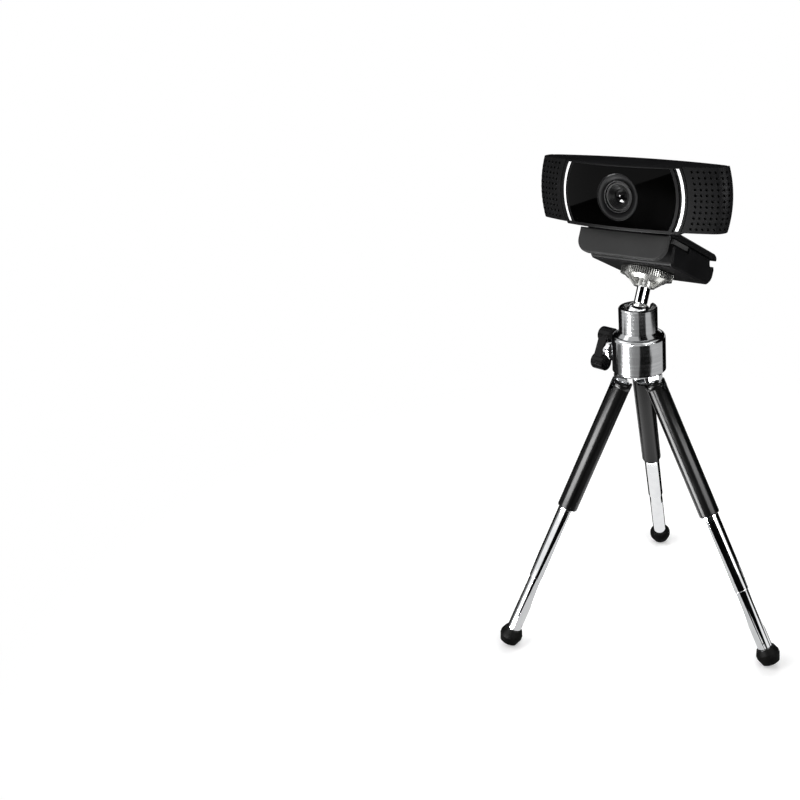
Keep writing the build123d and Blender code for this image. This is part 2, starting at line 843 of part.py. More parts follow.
nose_x = nose_reach - nose_radius
nose_y = front_sphere_radius - sqrt((front_sphere_radius - nose_radius) ** 2 - nose_x**2)
nose_front_angle = asin(nose_x / (front_sphere_radius - nose_radius))
back_sphere_radius = ((cam_depth - nose_y - nose_radius) ** 2 + nose_x**2) / (
    2 * (cam_depth - nose_y - nose_radius)
)
back_angle = asin(nose_x / (back_sphere_radius - nose_radius))
back_centre = nose_y - (back_sphere_radius - nose_radius) * cos(back_angle)
wrap_angle = radians(grille_wrap)


def nose_point(angle, radius):
    """Point round the rounded end: 0 faces the front, 90 degrees faces sideways."""
    return (nose_x + radius * sin(angle), nose_y - radius * cos(angle))


def front_point(reach, inset):
    """Point on the domed front, or inset behind it, at a distance from the lens axis."""
    radius = front_sphere_radius - inset
    return (reach, front_sphere_radius - sqrt(radius**2 - reach**2))


def grille_profile(inset, thickness):
    """Outline of the shell that runs from beside the bezel round the end of the webcam."""
    outer = nose_radius - inset
    inner = outer - thickness
    last = radians(90) + wrap_angle
    middle = (nose_front_angle + last) / 2
    mid_reach = (grille_inner + nose_x) / 2
    with BuildLine() as outline:
        front = ThreePointArc(
            front_point(grille_inner, inset),
            front_point(mid_reach, inset),
            nose_point(nose_front_angle, outer),
        )
        end = ThreePointArc(front @ 1, nose_point(middle, outer), nose_point(last, outer))
        back = ThreePointArc(
            nose_point(last, inner), nose_point(middle, inner), nose_point(nose_front_angle, inner)
        )
        inside = ThreePointArc(
            back @ 1,
            front_point(mid_reach, inset + thickness),
            front_point(grille_inner, inset + thickness),
        )
        Line(end @ 1, back @ 0)
        Line(inside @ 1, front @ 0)
    return outline.line


# Hole places: rows at equal heights, columns at equal steps along the shell
front_run = (nose_front_angle - asin(grille_first_column / front_sphere_radius)) * front_sphere_radius


def hole_plane(column, height, side):
    """Plane of one hole, square to the shell, with its normal outwards."""
    along = column * grille_pitch
    if along < front_run:
        angle = asin(grille_first_column / front_sphere_radius) + along / front_sphere_radius
        reach = front_sphere_radius * sin(angle)
        depth = front_sphere_radius * (1 - cos(angle))
    else:
        angle = nose_front_angle + (along - front_run) / nose_radius
        reach, depth = nose_point(angle, nose_radius)
    turn = asin(height / reach)
    outward = (side * sin(angle) * cos(turn), -cos(angle), sin(angle) * sin(turn))
    place = (side * reach * cos(turn), depth, height)
    origin = cam.from_local_coords(place)
    tip = cam.from_local_coords(tuple(p + n for p, n in zip(place, outward)))
    return Plane(origin=origin, z_dir=tip - origin)


row_heights = [
    (row - (grille_rows - 1) / 2) * grille_pitch + (cam_top - cam_bottom) / 2 for row in range(grille_rows)
]
for side, name in ((-1, "left_mic_grille"), (1, "right_mic_grille")):
    holes = [hole_plane(column, height, side) for height in row_heights for column in range(grille_columns)]
    with BuildPart() as grille:
        with BuildSketch(cam):
            add(grille_profile(0, grille_wall))
            make_face()
        revolve(axis=lens_axis)
        with Locations(cam_at(side * grille_inner / 2, 0, 0)):
            Box(
                2 * nose_reach,
                4 * cam_depth,
                4 * cam_top,
                align=(Align.MIN if side > 0 else Align.MAX, Align.CENTER, Align.CENTER),
                mode=Mode.INTERSECT,
            )
        cam_slab(cam_bottom, cam_top)
        with BuildSketch(*holes):
            RegularPolygon(grille_hole_radius, 6)
        extrude(amount=-grille_hole_depth, mode=Mode.SUBTRACT)
    finish(grille, name)


def barrel_outline(reach, bottom, top):
    """Flat-topped outline with round ends, seen from the front."""
    Circle(reach)
    with Locations((0, (top - bottom) / 2)):
        Rectangle(2 * reach, top + bottom, mode=Mode.INTERSECT)


def dome_cut(inset):
    """Rounds the front of a webcam piece to the common dome."""
    with BuildSketch(cam) as behind_dome:
        with BuildLine():
            dome = ThreePointArc(
                (0, inset), front_point(nose_reach / 2, inset), front_point(nose_reach, inset)
            )
            Polyline(dome @ 1, (nose_reach, cam_depth), (0, cam_depth), dome @ 0)
        make_face()
    revolve(behind_dome.sketch, axis=lens_axis, mode=Mode.INTERSECT)


# Front bezel: frame with a pocket for the face plate and a groove for each light pipe
pipe_floor = front_depth(pipe_outer) + pipe_recess + pipe_thickness
with BuildPart() as front_bezel:
    with BuildSketch(cam_face(0)):
        barrel_outline(bezel_reach, bezel_bottom, cam_top)
    extrude(amount=-bezel_back)
    dome_cut(0)
    fillet(front_bezel.edges().filter_by(GeomType.CIRCLE).sort_by(lens_axis)[0:2], bezel_edge)
    with BuildSketch(cam_face(0)):
        barrel_outline(plate_reach + seat_gap, plate_half_height + seat_gap, plate_half_height + seat_gap)
    extrude(amount=-plate_back, mode=Mode.SUBTRACT)
    with BuildSketch(cam_face(0)):
        barrel_outline(pipe_outer + seat_gap, pipe_half_height + seat_gap, pipe_half_height + seat_gap)
        Circle(pipe_inner - seat_gap, mode=Mode.SUBTRACT)
    extrude(amount=-pipe_floor, mode=Mode.SUBTRACT)
    with BuildSketch(cam_face(plate_back)):
        Rectangle(2 * (focus_half_width + moving_gap), 2 * (focus_half_width + moving_gap))
    extrude(amount=-bezel_back, mode=Mode.SUBTRACT)
    with BuildSketch(cam_face(pipe_floor + bezel_wall)):
        barrel_outline(
            bezel_reach - bezel_wall, bezel_bottom - 2 * bezel_wall, cam_top - 2 * bezel_wall
        )
    extrude(amount=-bezel_back, mode=Mode.SUBTRACT)
    with BuildSketch(cam_face(pipe_floor)):
        for side in (-1, 1):
            with Locations((side * (pipe_inner + pipe_outer) / 2, 0)):
                Rectangle(2 * led_half_width, 2 * led_half_width)
    extrude(amount=-bezel_back, mode=Mode.SUBTRACT)
finish(front_bezel, "front_bezel")

with BuildPart() as face_plate:
    with BuildSketch(cam_face(0)):
        barrel_outline(plate_reach, plate_half_height, plate_half_height)
    extrude(amount=-plate_back)
    dome_cut(0)
    with BuildSketch(cam):
        with BuildLine():
            Polyline(
                (0, -dish_depth),
                (dish_radius + dish_depth, -dish_depth),
                (dish_radius, front_depth(dish_radius)),
                (ring_radius + seat_gap, dish_depth),
                (ring_radius + seat_gap, plate_back),
                (0, plate_back),
                close=True,
            )
        make_face()
    revolve(axis=lens_axis, mode=Mode.SUBTRACT)
finish(face_plate, "face_plate")

for side, name in ((-1, "left_light_pipe"), (1, "right_light_pipe")):
    with BuildPart() as light_pipe:
        with BuildSketch(cam_face(0)):
            barrel_outline(pipe_outer, pipe_half_height, pipe_half_height)
            Circle(pipe_inner, mode=Mode.SUBTRACT)
            with Locations((-side * nose_reach, 0)):
                Rectangle(2 * nose_reach, 2 * nose_reach, mode=Mode.SUBTRACT)
        extrude(amount=-pipe_floor)
        dome_cut(pipe_recess)
    finish(light_pipe, name)

# Lens: ring in the face plate, barrel that slides to focus, and its glass
with BuildPart() as lens_ring:
    with BuildSketch(cam_face(dish_depth - ring_proud)):
        Circle(ring_radius)
        Circle(ring_radius - ring_wall, mode=Mode.SUBTRACT)
    extrude(amount=-(plate_back - dish_depth + ring_proud))
finish(lens_ring, "lens_ring")

with BuildPart() as lens_barrel:
    with BuildSketch(cam):
        with BuildLine():
            Polyline(
                (glass_radius, shroud_floor),
                (shroud_radius - barrel_wall, shroud_mouth),
                (shroud_radius, shroud_mouth),
                (shroud_radius, shroud_floor + focus_travel),
                (barrel_radius, shroud_floor + focus_travel),
                (barrel_radius, barrel_back),
                (glass_radius - barrel_wall, barrel_back),
                (glass_radius - barrel_wall, shroud_floor + glass_seat),
                (glass_radius, shroud_floor + glass_seat),
                close=True,
            )
        make_face()
    revolve(axis=lens_axis)
finish(lens_barrel, "lens_barrel")

glass_edge = glass_radius - pressed_fit
with BuildPart() as lens_glass:
    with BuildSketch(cam):
        with BuildLine():
            rim = Polyline(
                (0, shroud_floor - glass_bulge),
                (0, shroud_floor + glass_seat),
                (glass_edge, shroud_floor + glass_seat),
                (glass_edge, shroud_floor),
            )
            sag = (glass_edge**2 + glass_bulge**2) / (2 * glass_bulge)
            half = asin(glass_edge / sag) / 2
            ThreePointArc(
                rim @ 1,
                (sag * sin(half), shroud_floor - glass_bulge + sag * (1 - cos(half))),
                rim @ 0,
            )
        make_face()
    revolve(axis=lens_axis)
finish(lens_glass, "lens_glass")

with BuildPart() as focus_housing:
    with BuildSketch(cam_face(focus_front)):
        Rectangle(2 * focus_half_width, 2 * focus_half_width)
        Circle(barrel_radius + running_fit, mode=Mode.SUBTRACT)
    extrude(amount=-(board_front - focus_front))
    with BuildSketch(cam_face(board_front - sensor_thickness - seat_gap)):
        Rectangle(2 * (sensor_half_width + seat_gap), 2 * (sensor_half_width + seat_gap))
    extrude(amount=-cam_depth, mode=Mode.SUBTRACT)
finish(focus_housing, "focus_housing")

with BuildPart() as image_sensor:
    with BuildSketch(cam_face(board_front - sensor_thickness)):
        Rectangle(2 * sensor_half_width, 2 * sensor_half_width)
    extrude(amount=-sensor_thickness)
finish(image_sensor, "image_sensor")

board_back = board_front + board_thickness
with BuildPart() as main_board:
    with BuildSketch(cam_face(board_front)) as board_outline:
        Rectangle(2 * board_half_length, 2 * board_half_height)
        fillet(board_outline.vertices(), boss_radius)
        with GridLocations(2 * boss_x, 2 * boss_z, 2, 2):
            Circle(screw_radius + seat_gap, mode=Mode.SUBTRACT)
    extrude(amount=-board_thickness)
finish(main_board, "main_board")

with BuildPart() as housing_screws:
    with BuildSketch(cam_face(board_front - screw_head_height)):
        with GridLocations(2 * boss_x, 2 * boss_z, 2, 2):
            Circle(screw_head_radius)
    extrude(amount=-screw_head_height)
    with BuildSketch(cam_face(board_front)):
        with GridLocations(2 * boss_x, 2 * boss_z, 2, 2):
            Circle(screw_radius)
    extrude(amount=-screw_length)
finish(housing_screws, "housing_screws")

with BuildPart() as indicator_leds:
    with BuildSketch(cam_face(pipe_floor)):
        for side in (-1, 1):
            with Locations((side * (pipe_inner + pipe_outer) / 2, 0)):
                Rectangle(2 * (led_half_width - seat_gap), 2 * (led_half_width - seat_gap))
    extrude(amount=-(board_front - pipe_floor))
finish(indicator_leds, "indicator_leds")


# Rear housing: nests inside the grilles, meets the bezel, and carries the hinge lug
def housing_profile(inset):
    """Outline of the housing behind the bezel and the grille shells."""
    shell = nose_radius - grille_wall - seat_gap - inset
    last = radians(90) + wrap_angle
    middle = (nose_front_angle + last) / 2
    back_end = radians(180) - back_angle
    mid_reach = (grille_inner + nose_x) / 2
    shell_inset = grille_wall + seat_gap + inset
    with BuildLine() as outline:
        front = ThreePointArc(
            front_point(grille_inner, shell_inset),
            front_point(mid_reach, shell_inset),
            nose_point(nose_front_angle, shell),
        )
        end = ThreePointArc(front @ 1, nose_point(middle, shell), nose_point(last, shell))
        step = Line(end @ 1, nose_point(last + seat_gap / nose_radius, nose_radius - inset))
        round_back = ThreePointArc(
            step @ 1,
            nose_point((last + back_end) / 2, nose_radius - inset),
            nose_point(back_end, nose_radius - inset),
        )
        radius = back_sphere_radius - inset
        back = ThreePointArc(
            round_back @ 1,
            (radius * sin(back_angle / 2), back_centre + radius * cos(back_angle / 2)),
            (0, back_centre + radius),
        )
        Polyline(
            back @ 1,
            (0, bezel_back + seat_gap),
            (grille_inner, bezel_back + seat_gap),
            front @ 0,
        )
    return outline.line


with BuildPart() as housing_cavity:
    with BuildSketch(cam):
        add(housing_profile(housing_wall))
        make_face()
    revolve(axis=lens_axis)
    cam_slab(cam_bottom - housing_wall, cam_top - housing_wall)

cam_side = side_plane(cam)


def back_depth(reach, inset):
    """Depth of the domed back, or of a surface inset in front of it."""
    return back_centre + sqrt((back_sphere_radius - inset) ** 2 - reach**2)


boss_length = back_depth(sqrt(boss_x**2 + boss_z**2), housing_wall / 2) - board_back
with BuildPart() as rear_housing:
    with BuildSketch(cam):
        add(housing_profile(0))
        make_face()
    revolve(axis=lens_axis)
    cam_slab(cam_bottom, cam_top)
    flats = rear_housing.faces().filter_by(cam).edges()
    back_edges = flats.filter_by(lambda e: cam.to_local_coords(e.center()).Y > nose_y + nose_radius)
    fillet(back_edges, housing_edge)
    add(housing_cavity.part, mode=Mode.SUBTRACT)
    with BuildSketch(cam_face(bezel_back)):
        barrel_outline(
            bezel_reach - bezel_wall, cam_bottom - housing_wall, cam_top - housing_wall
        )
    extrude(amount=-(board_front - bezel_back), mode=Mode.SUBTRACT)
    with BuildSketch(cam_face(board_back)):
        with GridLocations(2 * boss_x, 2 * boss_z, 2, 2):
            Circle(boss_radius)
    extrude(amount=-boss_length)
    with BuildSketch(cam_face(board_back)):
        with GridLocations(2 * boss_x, 2 * boss_z, 2, 2):
            Circle(screw_radius + pressed_fit)
    extrude(amount=-(screw_length - board_thickness + seat_gap), mode=Mode.SUBTRACT)
    with BuildSketch(cam_side):
        with Locations((cam_hinge_depth, -cam_hinge_drop)):
            Circle(tilt_lug_radius)
        with Locations((cam_hinge_depth + tilt_lug_radius, -cam_hinge_drop)):
            Rectangle(
                cam_hinge_depth + tilt_lug_radius - bezel_back - seat_gap,
                cam_hinge_gap + seat_gap,
                align=(Align.MAX, Align.MIN),
            )
        with Locations((cam_hinge_depth, -cam_hinge_drop)):
            Circle(tilt_pin_radius + running_fit, mode=Mode.SUBTRACT)
    extrude(amount=tilt_lug_half, both=True)
    with BuildSketch(cam_face(board_back)):
        with Locations((gland_x, gland_z)):
            Circle(gland_radius + pressed_fit)
    extrude(amount=-cam_depth, mode=Mode.SUBTRACT)
finish(rear_housing, "rear_housing")

# Microphone boards, held between the top and bottom walls behind the grilles
with BuildPart() as microphone_boards:
    with BuildSketch(cam_face(mic_board_depth)):
        for side in (-1, 1):
            with Locations((side * (nose_reach - mic_board_inset), (cam_top - cam_bottom) / 2)):
                Rectangle(
                    2 * mic_board_half_width,
                    cam_top + cam_bottom - 2 * housing_wall - 2 * seat_gap,
                )
    extrude(amount=-mic_board_thickness)
finish(microphone_boards, "microphone_boards")

# Cable inlet: a bushing in the back wall
gland_outer = back_depth(sqrt(gland_x**2 + gland_z**2) - gland_flange_radius, 0)
with BuildPart() as cable_gland:
    with BuildSketch(cam_face(gland_outer + gland_flange)):
        with Locations((gland_x, gland_z)):
            Circle(gland_flange_radius)
    extrude(amount=gland_flange)
    with BuildSketch(cam_face(gland_outer)):
        with Locations((gland_x, gland_z)):
            Circle(gland_radius)
    extrude(amount=2 * housing_wall)
    fillet(cable_gland.faces().sort_by(lens_axis)[-1].edges(), gland_flange / 2)
    with BuildSketch(cam_face(gland_outer + gland_flange)):
        with Locations((gland_x, gland_z)):
            Circle(gland_bore)
    extrude(amount=gland_flange + 2 * housing_wall, mode=Mode.SUBTRACT)
finish(cable_gland, "cable_gland")
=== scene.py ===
import json
from math import asin, atan2, cos, pi, radians, sin, sqrt
import bpy
import bmesh
from mathutils import Matrix, Vector


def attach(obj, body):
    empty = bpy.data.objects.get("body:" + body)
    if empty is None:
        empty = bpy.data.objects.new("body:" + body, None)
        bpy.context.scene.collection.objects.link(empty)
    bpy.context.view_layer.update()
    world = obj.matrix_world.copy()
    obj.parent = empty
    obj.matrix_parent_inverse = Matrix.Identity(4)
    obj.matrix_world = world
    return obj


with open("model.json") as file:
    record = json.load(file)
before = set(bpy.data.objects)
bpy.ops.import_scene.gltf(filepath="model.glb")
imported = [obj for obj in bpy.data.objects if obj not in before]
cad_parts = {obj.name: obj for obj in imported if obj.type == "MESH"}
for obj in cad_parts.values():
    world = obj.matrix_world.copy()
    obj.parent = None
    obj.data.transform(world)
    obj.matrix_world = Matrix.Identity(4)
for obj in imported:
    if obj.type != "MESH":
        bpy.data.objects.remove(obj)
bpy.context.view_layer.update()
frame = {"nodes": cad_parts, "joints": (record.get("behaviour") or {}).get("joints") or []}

scene = bpy.context.scene
MM = 0.001
UM = 0.000001

# Sizes are in millimetres and angles in degrees

# Webcam: the middle of its domed front, which bends back to a rounded nose at either end
LENS_FRONT = Vector((0.0, -15.2, 216.8))
FRONT_RADIUS = 120.0
NOSE_RADIUS = 5.5
NOSE_X = 41.5

# Microphone holes: rows at equal heights, columns at equal steps round the end of the webcam
HOLE_PITCH = 2.35
HOLE_ROWS = 11
HOLE_COLUMNS = 8
FIRST_HOLE = 34.6
ROW_MIDDLE = 0.2
HOLE_RADIUS = 0.63
HOLE_LIP_WIDTH = 0.11
HOLE_LIP_HEIGHT = 0.033
# Cloth: a black disc at the bottom of each hole, dust cloth and painted shade
CLOTH_RADIUS = 0.54
CLOTH_THICKNESS = 0.05
CLOTH_DEPTH = 0.8

# Light guides: radii of the mask over their inner edge, its half height and its depths behind the dome
MASK_INNER = 27.95
MASK_OUTER = 28.7
MASK_HALF_HEIGHT = 12.95
MASK_TOP = 0.55
MASK_FOOT = 0.98
MASK_STEPS = 32

# Lens: a dish with a rolled edge, then baffle rings as (radius, depth)
DISH_OUTER = 9.95
DISH_INNER = 6.95
DISH_EDGE_DEPTH = 0.36
DISH_FLOOR_DEPTH = 1.26
DISH_SKIN = 0.12
DISH_RIM_DEPTH = 0.41
DISH_RIM_BEAD = 0.16
DISH_STEPS = 72
BAFFLES = ((4.85, 1.95), (4.2, 2.55), (3.6, 3.15))
BAFFLE_BEAD = 0.12

# Locking wheel: heights up the stem from the ball's centre
WHEEL_RADIUS = 12.0
WHEEL_TEETH = 72
WHEEL_MIDDLE = 18.7
# Groove sizes are for the dark bars of painted shade in the knurl
GROOVE_INSET = 0.1
GROOVE_DEPTH = 0.1
GROOVE_WIDTH = 0.36
GROOVE_HEIGHT = 2.9

# Lock knob: the sleeve on its neck, measured outwards from the wall of the head
SLEEVE_RADIUS = 4.5
SLEEVE_START = 0.45
SLEEVE_END = 4.45
SLEEVE_EDGE = 0.3
SLEEVE_WALL = 1.4

# Legs: lengths run down a leg from its pivot
LEGS = ("rear", "front_left", "front_right")
OUTER_TUBE_RADIUS = 4.8
MIDDLE_TUBE_RADIUS = 3.8
LOWER_TUBE_RADIUS = 3.45
MIDDLE_TUBE_END = {"rear": 97.0, "front_left": 103.0, "front_right": 103.0}
ROLL_RADIUS = 3.68
ROLL_BEAD = 0.14
PUNCH_AT = 129.6
PUNCH_ANGLES = (50.0, 230.0)
PUNCH_RADIUS = 0.42
PUNCH_THICKNESS = 0.12
PUNCH_SINK = 0.062
CHEEK_INNER = 4.81
CHEEK_OUTER = 4.9
CHEEK_TOP = -2.2
CHEEK_FOOT = 1.3
CHEEK_GAP = 24.0
CHEEK_STEPS = 20

# Head and stem, as the reflection cards see them: radii, and how far down their frames they run
HEAD_RADIUS = 12.4
HEAD_SPAN = (-172.0, -126.0)
STEM_RADIUS = 3.1
STEM_SPAN = (-18.0, -4.0)

# Studio: brightness, floor, lamps and the places of cards, shields and curtains
SURROUND_LIGHT = 0.42
FLOOR_GLOW = 0.3
FLOOR_REACH = 6000.0
FADE_START = 130.0
FADE_END = 330.0
LAMP_AIM = Vector((0.0, 0.0, 140.0))
CARD_LIFT = 1.0
CARD_RISE = 0.125
CARD_STEPS = 6
FAR = 320.0
NEAR = 160.0
ON_FLOOR = 2000.0
SHIELD_REACH = 150.0
SHIELD_FOOT = 150.0
BACK_CURTAIN_TOP = 1300.0
SIDE_CURTAIN_TOP = 420.0

# Camera, fitted to the photograph
EYE = Vector((243.98, -412.76, 322.19))
HEADING = 37.3
PITCH = 22.58
ROLL = -4.0155
FOCAL_LENGTH = 49.687
SENSOR_WIDTH = 36.0
FRAME_SHIFT = (-0.15, -0.00625)
CLIP_START = 20.0

# Places: the frame's joints say where each piece sits
joints = {joint["name"]: joint for joint in frame["joints"]}


def joint_point(name):
    """Point that a joint turns about."""
    return Vector(joints[name]["pos_m"]) / MM


def joint_axis(name):
    """Direction that a joint turns round or slides along."""
    return Vector(joints[name]["axis"])


def place_at(point, across, along):
    """Frame at a point: z runs along one direction, x across it."""
    z = along.normalized()
    x = (across - z * across.dot(z)).normalized()
    return Matrix.Translation(point) @ Matrix((x, z.cross(x), z)).transposed().to_4x4()


level = joint_axis("camera_tilt")
webcam_place = place_at(LENS_FRONT, level, joint_axis("lens_focus").cross(level))
lens_place = webcam_place @ Matrix.Rotation(-pi / 2, 4, "X")
stem_place = place_at(joint_point("ball_tilt"), joint_axis("ball_tilt"), joint_axis("wheel_spin"))
lock_place = place_at(joint_point("knob_turn"), Vector((0, 0, -1)), joint_axis("knob_turn"))
leg_places = {}
for leg in LEGS:
    down = joint_axis(f"{leg}_middle_slide")
    outward = down.cross(joint_axis(f"{leg}_leg_fold"))
    leg_places[leg] = place_at(joint_point(f"{leg}_leg_fold"), outward, down)


# Materials: noise mostly lies between these values
TONE_NOISE = (0.35, 0.65)
SHEEN_NOISE = (0.3, 0.7)
TONE_DETAIL = 3.0
GRAIN_DETAIL = 2.0


def hue(code):
    """Linear colour of an sRGB hex value."""
    parts = [int(code[i : i + 2], 16) / 255 for i in (1, 3, 5)]
    return [c / 12.92 if c <= 0.04045 else ((c + 0.055) / 1.055) ** 2.4 for c in parts] + [1.0]


def add(tree, kind, values=(), links=(), **settings):
    """Adds one node with its settings, its inputs' values and the sockets that feed it."""
    made = tree.nodes.new(kind)
    for key, value in settings.items():
        setattr(made, key, value)
    for key, value in dict(values).items():
        made.inputs[key].default_value = value
    for key, socket in dict(links).items():
        tree.links.new(socket, made.inputs[key])
    return made


def surface(
    name, colour, tone, tone_mm, rough, grain_mm, grain_um, shader=(), stretch=(1, 1, 1), turned=False
):
    """Colour drifts to tone over tone_mm, roughness spans rough, relief is grain_um high every grain_mm."""
    made = bpy.data.materials.new(name)
    made.use_nodes = True
    tree = made.node_tree
    tree.nodes.clear()
    place = add(tree, "ShaderNodeTexCoord").outputs["Object"]
    along = add(tree, "ShaderNodeMapping", {"Scale": stretch}, {"Vector": place}).outputs[0]
    patches = add(
        tree, "ShaderNodeTexNoise", {"Scale": 1 / (tone_mm * MM), "Detail": TONE_DETAIL}, {"Vector": along}
    ).outputs["Fac"]
    grain = add(
        tree, "ShaderNodeTexNoise", {"Scale": 1 / (grain_mm * MM), "Detail": GRAIN_DETAIL}, {"Vector": along}
    ).outputs["Fac"]
    drift = add(
        tree, "ShaderNodeMapRange", {"From Min": TONE_NOISE[0], "From Max": TONE_NOISE[1]}, {"Value": patches}
    ).outputs[0]
    tint = add(
        tree, "ShaderNodeMix", {6: hue(colour), 7: hue(tone)}, {0: drift}, data_type="RGBA"
    ).outputs[2]
    sheen = add(
        tree, "ShaderNodeMapRange",
        {"From Min": SHEEN_NOISE[0], "From Max": SHEEN_NOISE[1], "To Min": rough[0], "To Max": rough[1]},
        {"Value": patches},
    ).outputs[0]
    relief = add(
        tree, "ShaderNodeBump", {"Strength": 1.0, "Distance": grain_um * UM}, {"Height": grain}
    ).outputs[0]
    links = {"Base Color": tint, "Roughness": sheen, "Normal": relief}
    if turned:
        links["Tangent"] = add(tree, "ShaderNodeTangent", direction_type="RADIAL", axis="Z").outputs[0]
    body = add(tree, "ShaderNodeBsdfPrincipled", shader, links)
    add(tree, "ShaderNodeOutputMaterial", (), {"Surface": body.outputs[0]})
    return made


# Spark-textured ABS: black with a soft, slightly broken shine
abs_black = surface(
    "moulded_abs_black", "#101011", "#141415", 14, (0.36, 0.46), 0.35, 5, {"Specular IOR Level": 0.02}
)
# The same ABS off a coarser tool: drier, a charcoal that lets the holes read as black
abs_charcoal = surface(
    "spark_textured_abs_charcoal", "#101011", "#151516", 10, (0.42, 0.52), 0.4, 9,
    {"Specular IOR Level": 0.02},
)
# Matte ABS in grey: even and almost without shine
abs_grey = surface(
    "matte_abs_grey", "#383838", "#3c3c3c", 16, (0.55, 0.65), 0.4, 7, {"Specular IOR Level": 0.03}
)
# Polished acrylic over black: a deep mirror with hardly any colour of its own
acrylic_black = surface(
    "polished_acrylic_black", "#020202", "#040404", 25, (0.03, 0.06), 6.0, 0.4,
    {"IOR": 1.49, "Specular IOR Level": 0.07},
)
# Frosted acrylic light guide, lit from behind: even white
acrylic_lit = surface(
    "frosted_acrylic_white", "#f4f6f8", "#ffffff", 6, (0.35, 0.45), 0.5, 3,
    {"Emission Color": hue("#ffffff"), "Emission Strength": 0.75},
)
# Anodised aluminium of the lens barrel: black with a thin grey edge shine
anodised_black = surface(
    "anodised_aluminium_black", "#0a0a0a", "#0e0e0f", 4, (0.3, 0.4), 0.3, 3, {"Specular IOR Level": 0.06}
)
# Chrome struck by a punch: a dark grey dent that has lost its mirror
chrome_struck = surface(
    "struck_chrome_plate", "#2c2c2d", "#353536", 3, (0.25, 0.35), 0.3, 2, {"Metallic": 1.0}
)
# Coated lens glass: black depth under a clear, hard shine
glass_coated = surface(
    "coated_lens_glass", "#050506", "#070708", 4, (0.01, 0.03), 3.0, 0.1,
    {"IOR": 1.6, "Specular IOR Level": 0.12},
)
# Moulded rubber: dull black, a little dusty in patches
rubber_black = surface(
    "moulded_rubber_black", "#0b0b0b", "#111110", 5, (0.45, 0.62), 0.5, 12, {"Specular IOR Level": 0.015}
)
# Softer rubber of the clip's pad: a worn dark grey
rubber_grey = surface(
    "soft_rubber_grey", "#2b2b2b", "#353534", 6, (0.6, 0.75), 0.5, 12, {"Specular IOR Level": 0.2}
)
# Turned aluminium: fine rings round the axis stretch every highlight into an upright band
aluminium_turned = surface(
    "turned_aluminium", "#a0a1a2", "#aaabac", 0.9, (0.1, 0.13), 0.35, 0.3,
    {"Metallic": 1.0, "Anisotropic": 0.2}, (0.02, 0.02, 1), True,
)
# Chrome plate on drawn steel: a mirror with faint handling marks
chrome = surface("chrome_plated_steel", "#dfe0e2", "#e8e9ea", 9, (0.03, 0.06), 4.0, 0.15, {"Metallic": 1.0})
# Nickel plate on brass: bright, a shade warmer and softer than the chrome
nickel = surface("nickel_plated_brass", "#858583", "#939390", 4, (0.2, 0.28), 0.4, 1, {"Metallic": 1.0})
# Stoved enamel on steel tube: deep black with a slight orange peel
enamel_black = surface(
    "stoved_enamel_black", "#060606", "#090909", 12, (0.2, 0.26), 1.2, 2, {"Specular IOR Level": 0.065}
)
# Glass-filled nylon knob, polished in the tool: black with a wet shine
nylon_black = surface(
    "moulded_nylon_black", "#090909", "#0e0e0f", 4, (0.16, 0.24), 0.6, 3, {"Specular IOR Level": 0.06}
)
# Natural nylon: off-white and waxy
nylon_natural = surface("natural_nylon", "#d9d6cb", "#e2dfd5", 5, (0.4, 0.5), 0.5, 4)
# Zinc-plated steel: pale grey, slightly blue and dull
steel_zinc = surface("zinc_plated_steel", "#a8abae", "#b9bcbf", 3, (0.25, 0.38), 0.3, 2, {"Metallic": 1.0})
# Turned brass: yellow with fine tool rings
brass_turned = surface("turned_brass", "#b08d4c", "#c29d58", 3, (0.2, 0.3), 0.3, 2, {"Metallic": 1.0})
# Glass-fibre board: solder resist gives a patchy green with a slight shine
board_green = surface("fr4_board_green", "#0f4a28", "#17603a", 1.6, (0.3, 0.4), 0.8, 10)
# Woven dust cloth behind the holes, black with no shine, and painted shade that keeps each hole dark
cloth_and_shade_black = surface(
    "dust_cloth_and_painted_shade", "#050505", "#080808", 1.0, (0.85, 0.95), 0.2, 20, {"Specular IOR Level": 0.1}
)

node_finish = {
    abs_black: ["front_bezel", "rear_housing", "clip_base", "clip_arm"],
    abs_charcoal: ["left_mic_grille", "right_mic_grille"],
    abs_grey: ["front_lip"],
    acrylic_black: ["face_plate"],
    acrylic_lit: ["left_light_pipe", "right_light_pipe", "indicator_leds"],
    anodised_black: ["lens_barrel", "focus_housing", "lens_ring"],
    glass_coated: ["lens_glass"],
    rubber_black: ["lip_pad", "cable_gland"],
    rubber_grey: ["arm_pad"],
    aluminium_turned: ["head_body", "leg_spider"],
    chrome: ["ball_stem"],
    nickel: ["locking_wheel"],
    nylon_black: ["lock_knob"],
    nylon_natural: ["ball_seat"],
    steel_zinc: [
        "housing_screws", "spider_screws", "arm_hinge_pin", "tilt_hinge_pin", "tilt_washers", "lock_screw"
    ],
    brass_turned: ["thread_insert"],
    board_green: ["main_board", "image_sensor", "microphone_boards"],
    enamel_black: [],
}
for leg in LEGS:
    node_finish[chrome] += [f"{leg}_leg_clevis", f"{leg}_middle_tube", f"{leg}_lower_tube"]
    node_finish[enamel_black] += [f"{leg}_outer_tube"]
    node_finish[rubber_black] += [f"{leg}_foot"]
    node_finish[steel_zinc] += [f"{leg}_leg_pin"]
    node_finish[nylon_natural] += [f"{leg}_middle_plug", f"{leg}_lower_plug"]
for made, names in node_finish.items():
    for name in names:
        data = frame["nodes"][name].data
        data.materials.clear()
        data.materials.append(made)


# Pieces finer than the solids
def place_piece(name, data, body):
    """Makes an object of a finished mesh, smooth-shaded, and lets it ride on a body."""
    obj = bpy.data.objects.new(name, data)
    scene.collection.objects.link(obj)
    data.shade_smooth()
    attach(obj, body)


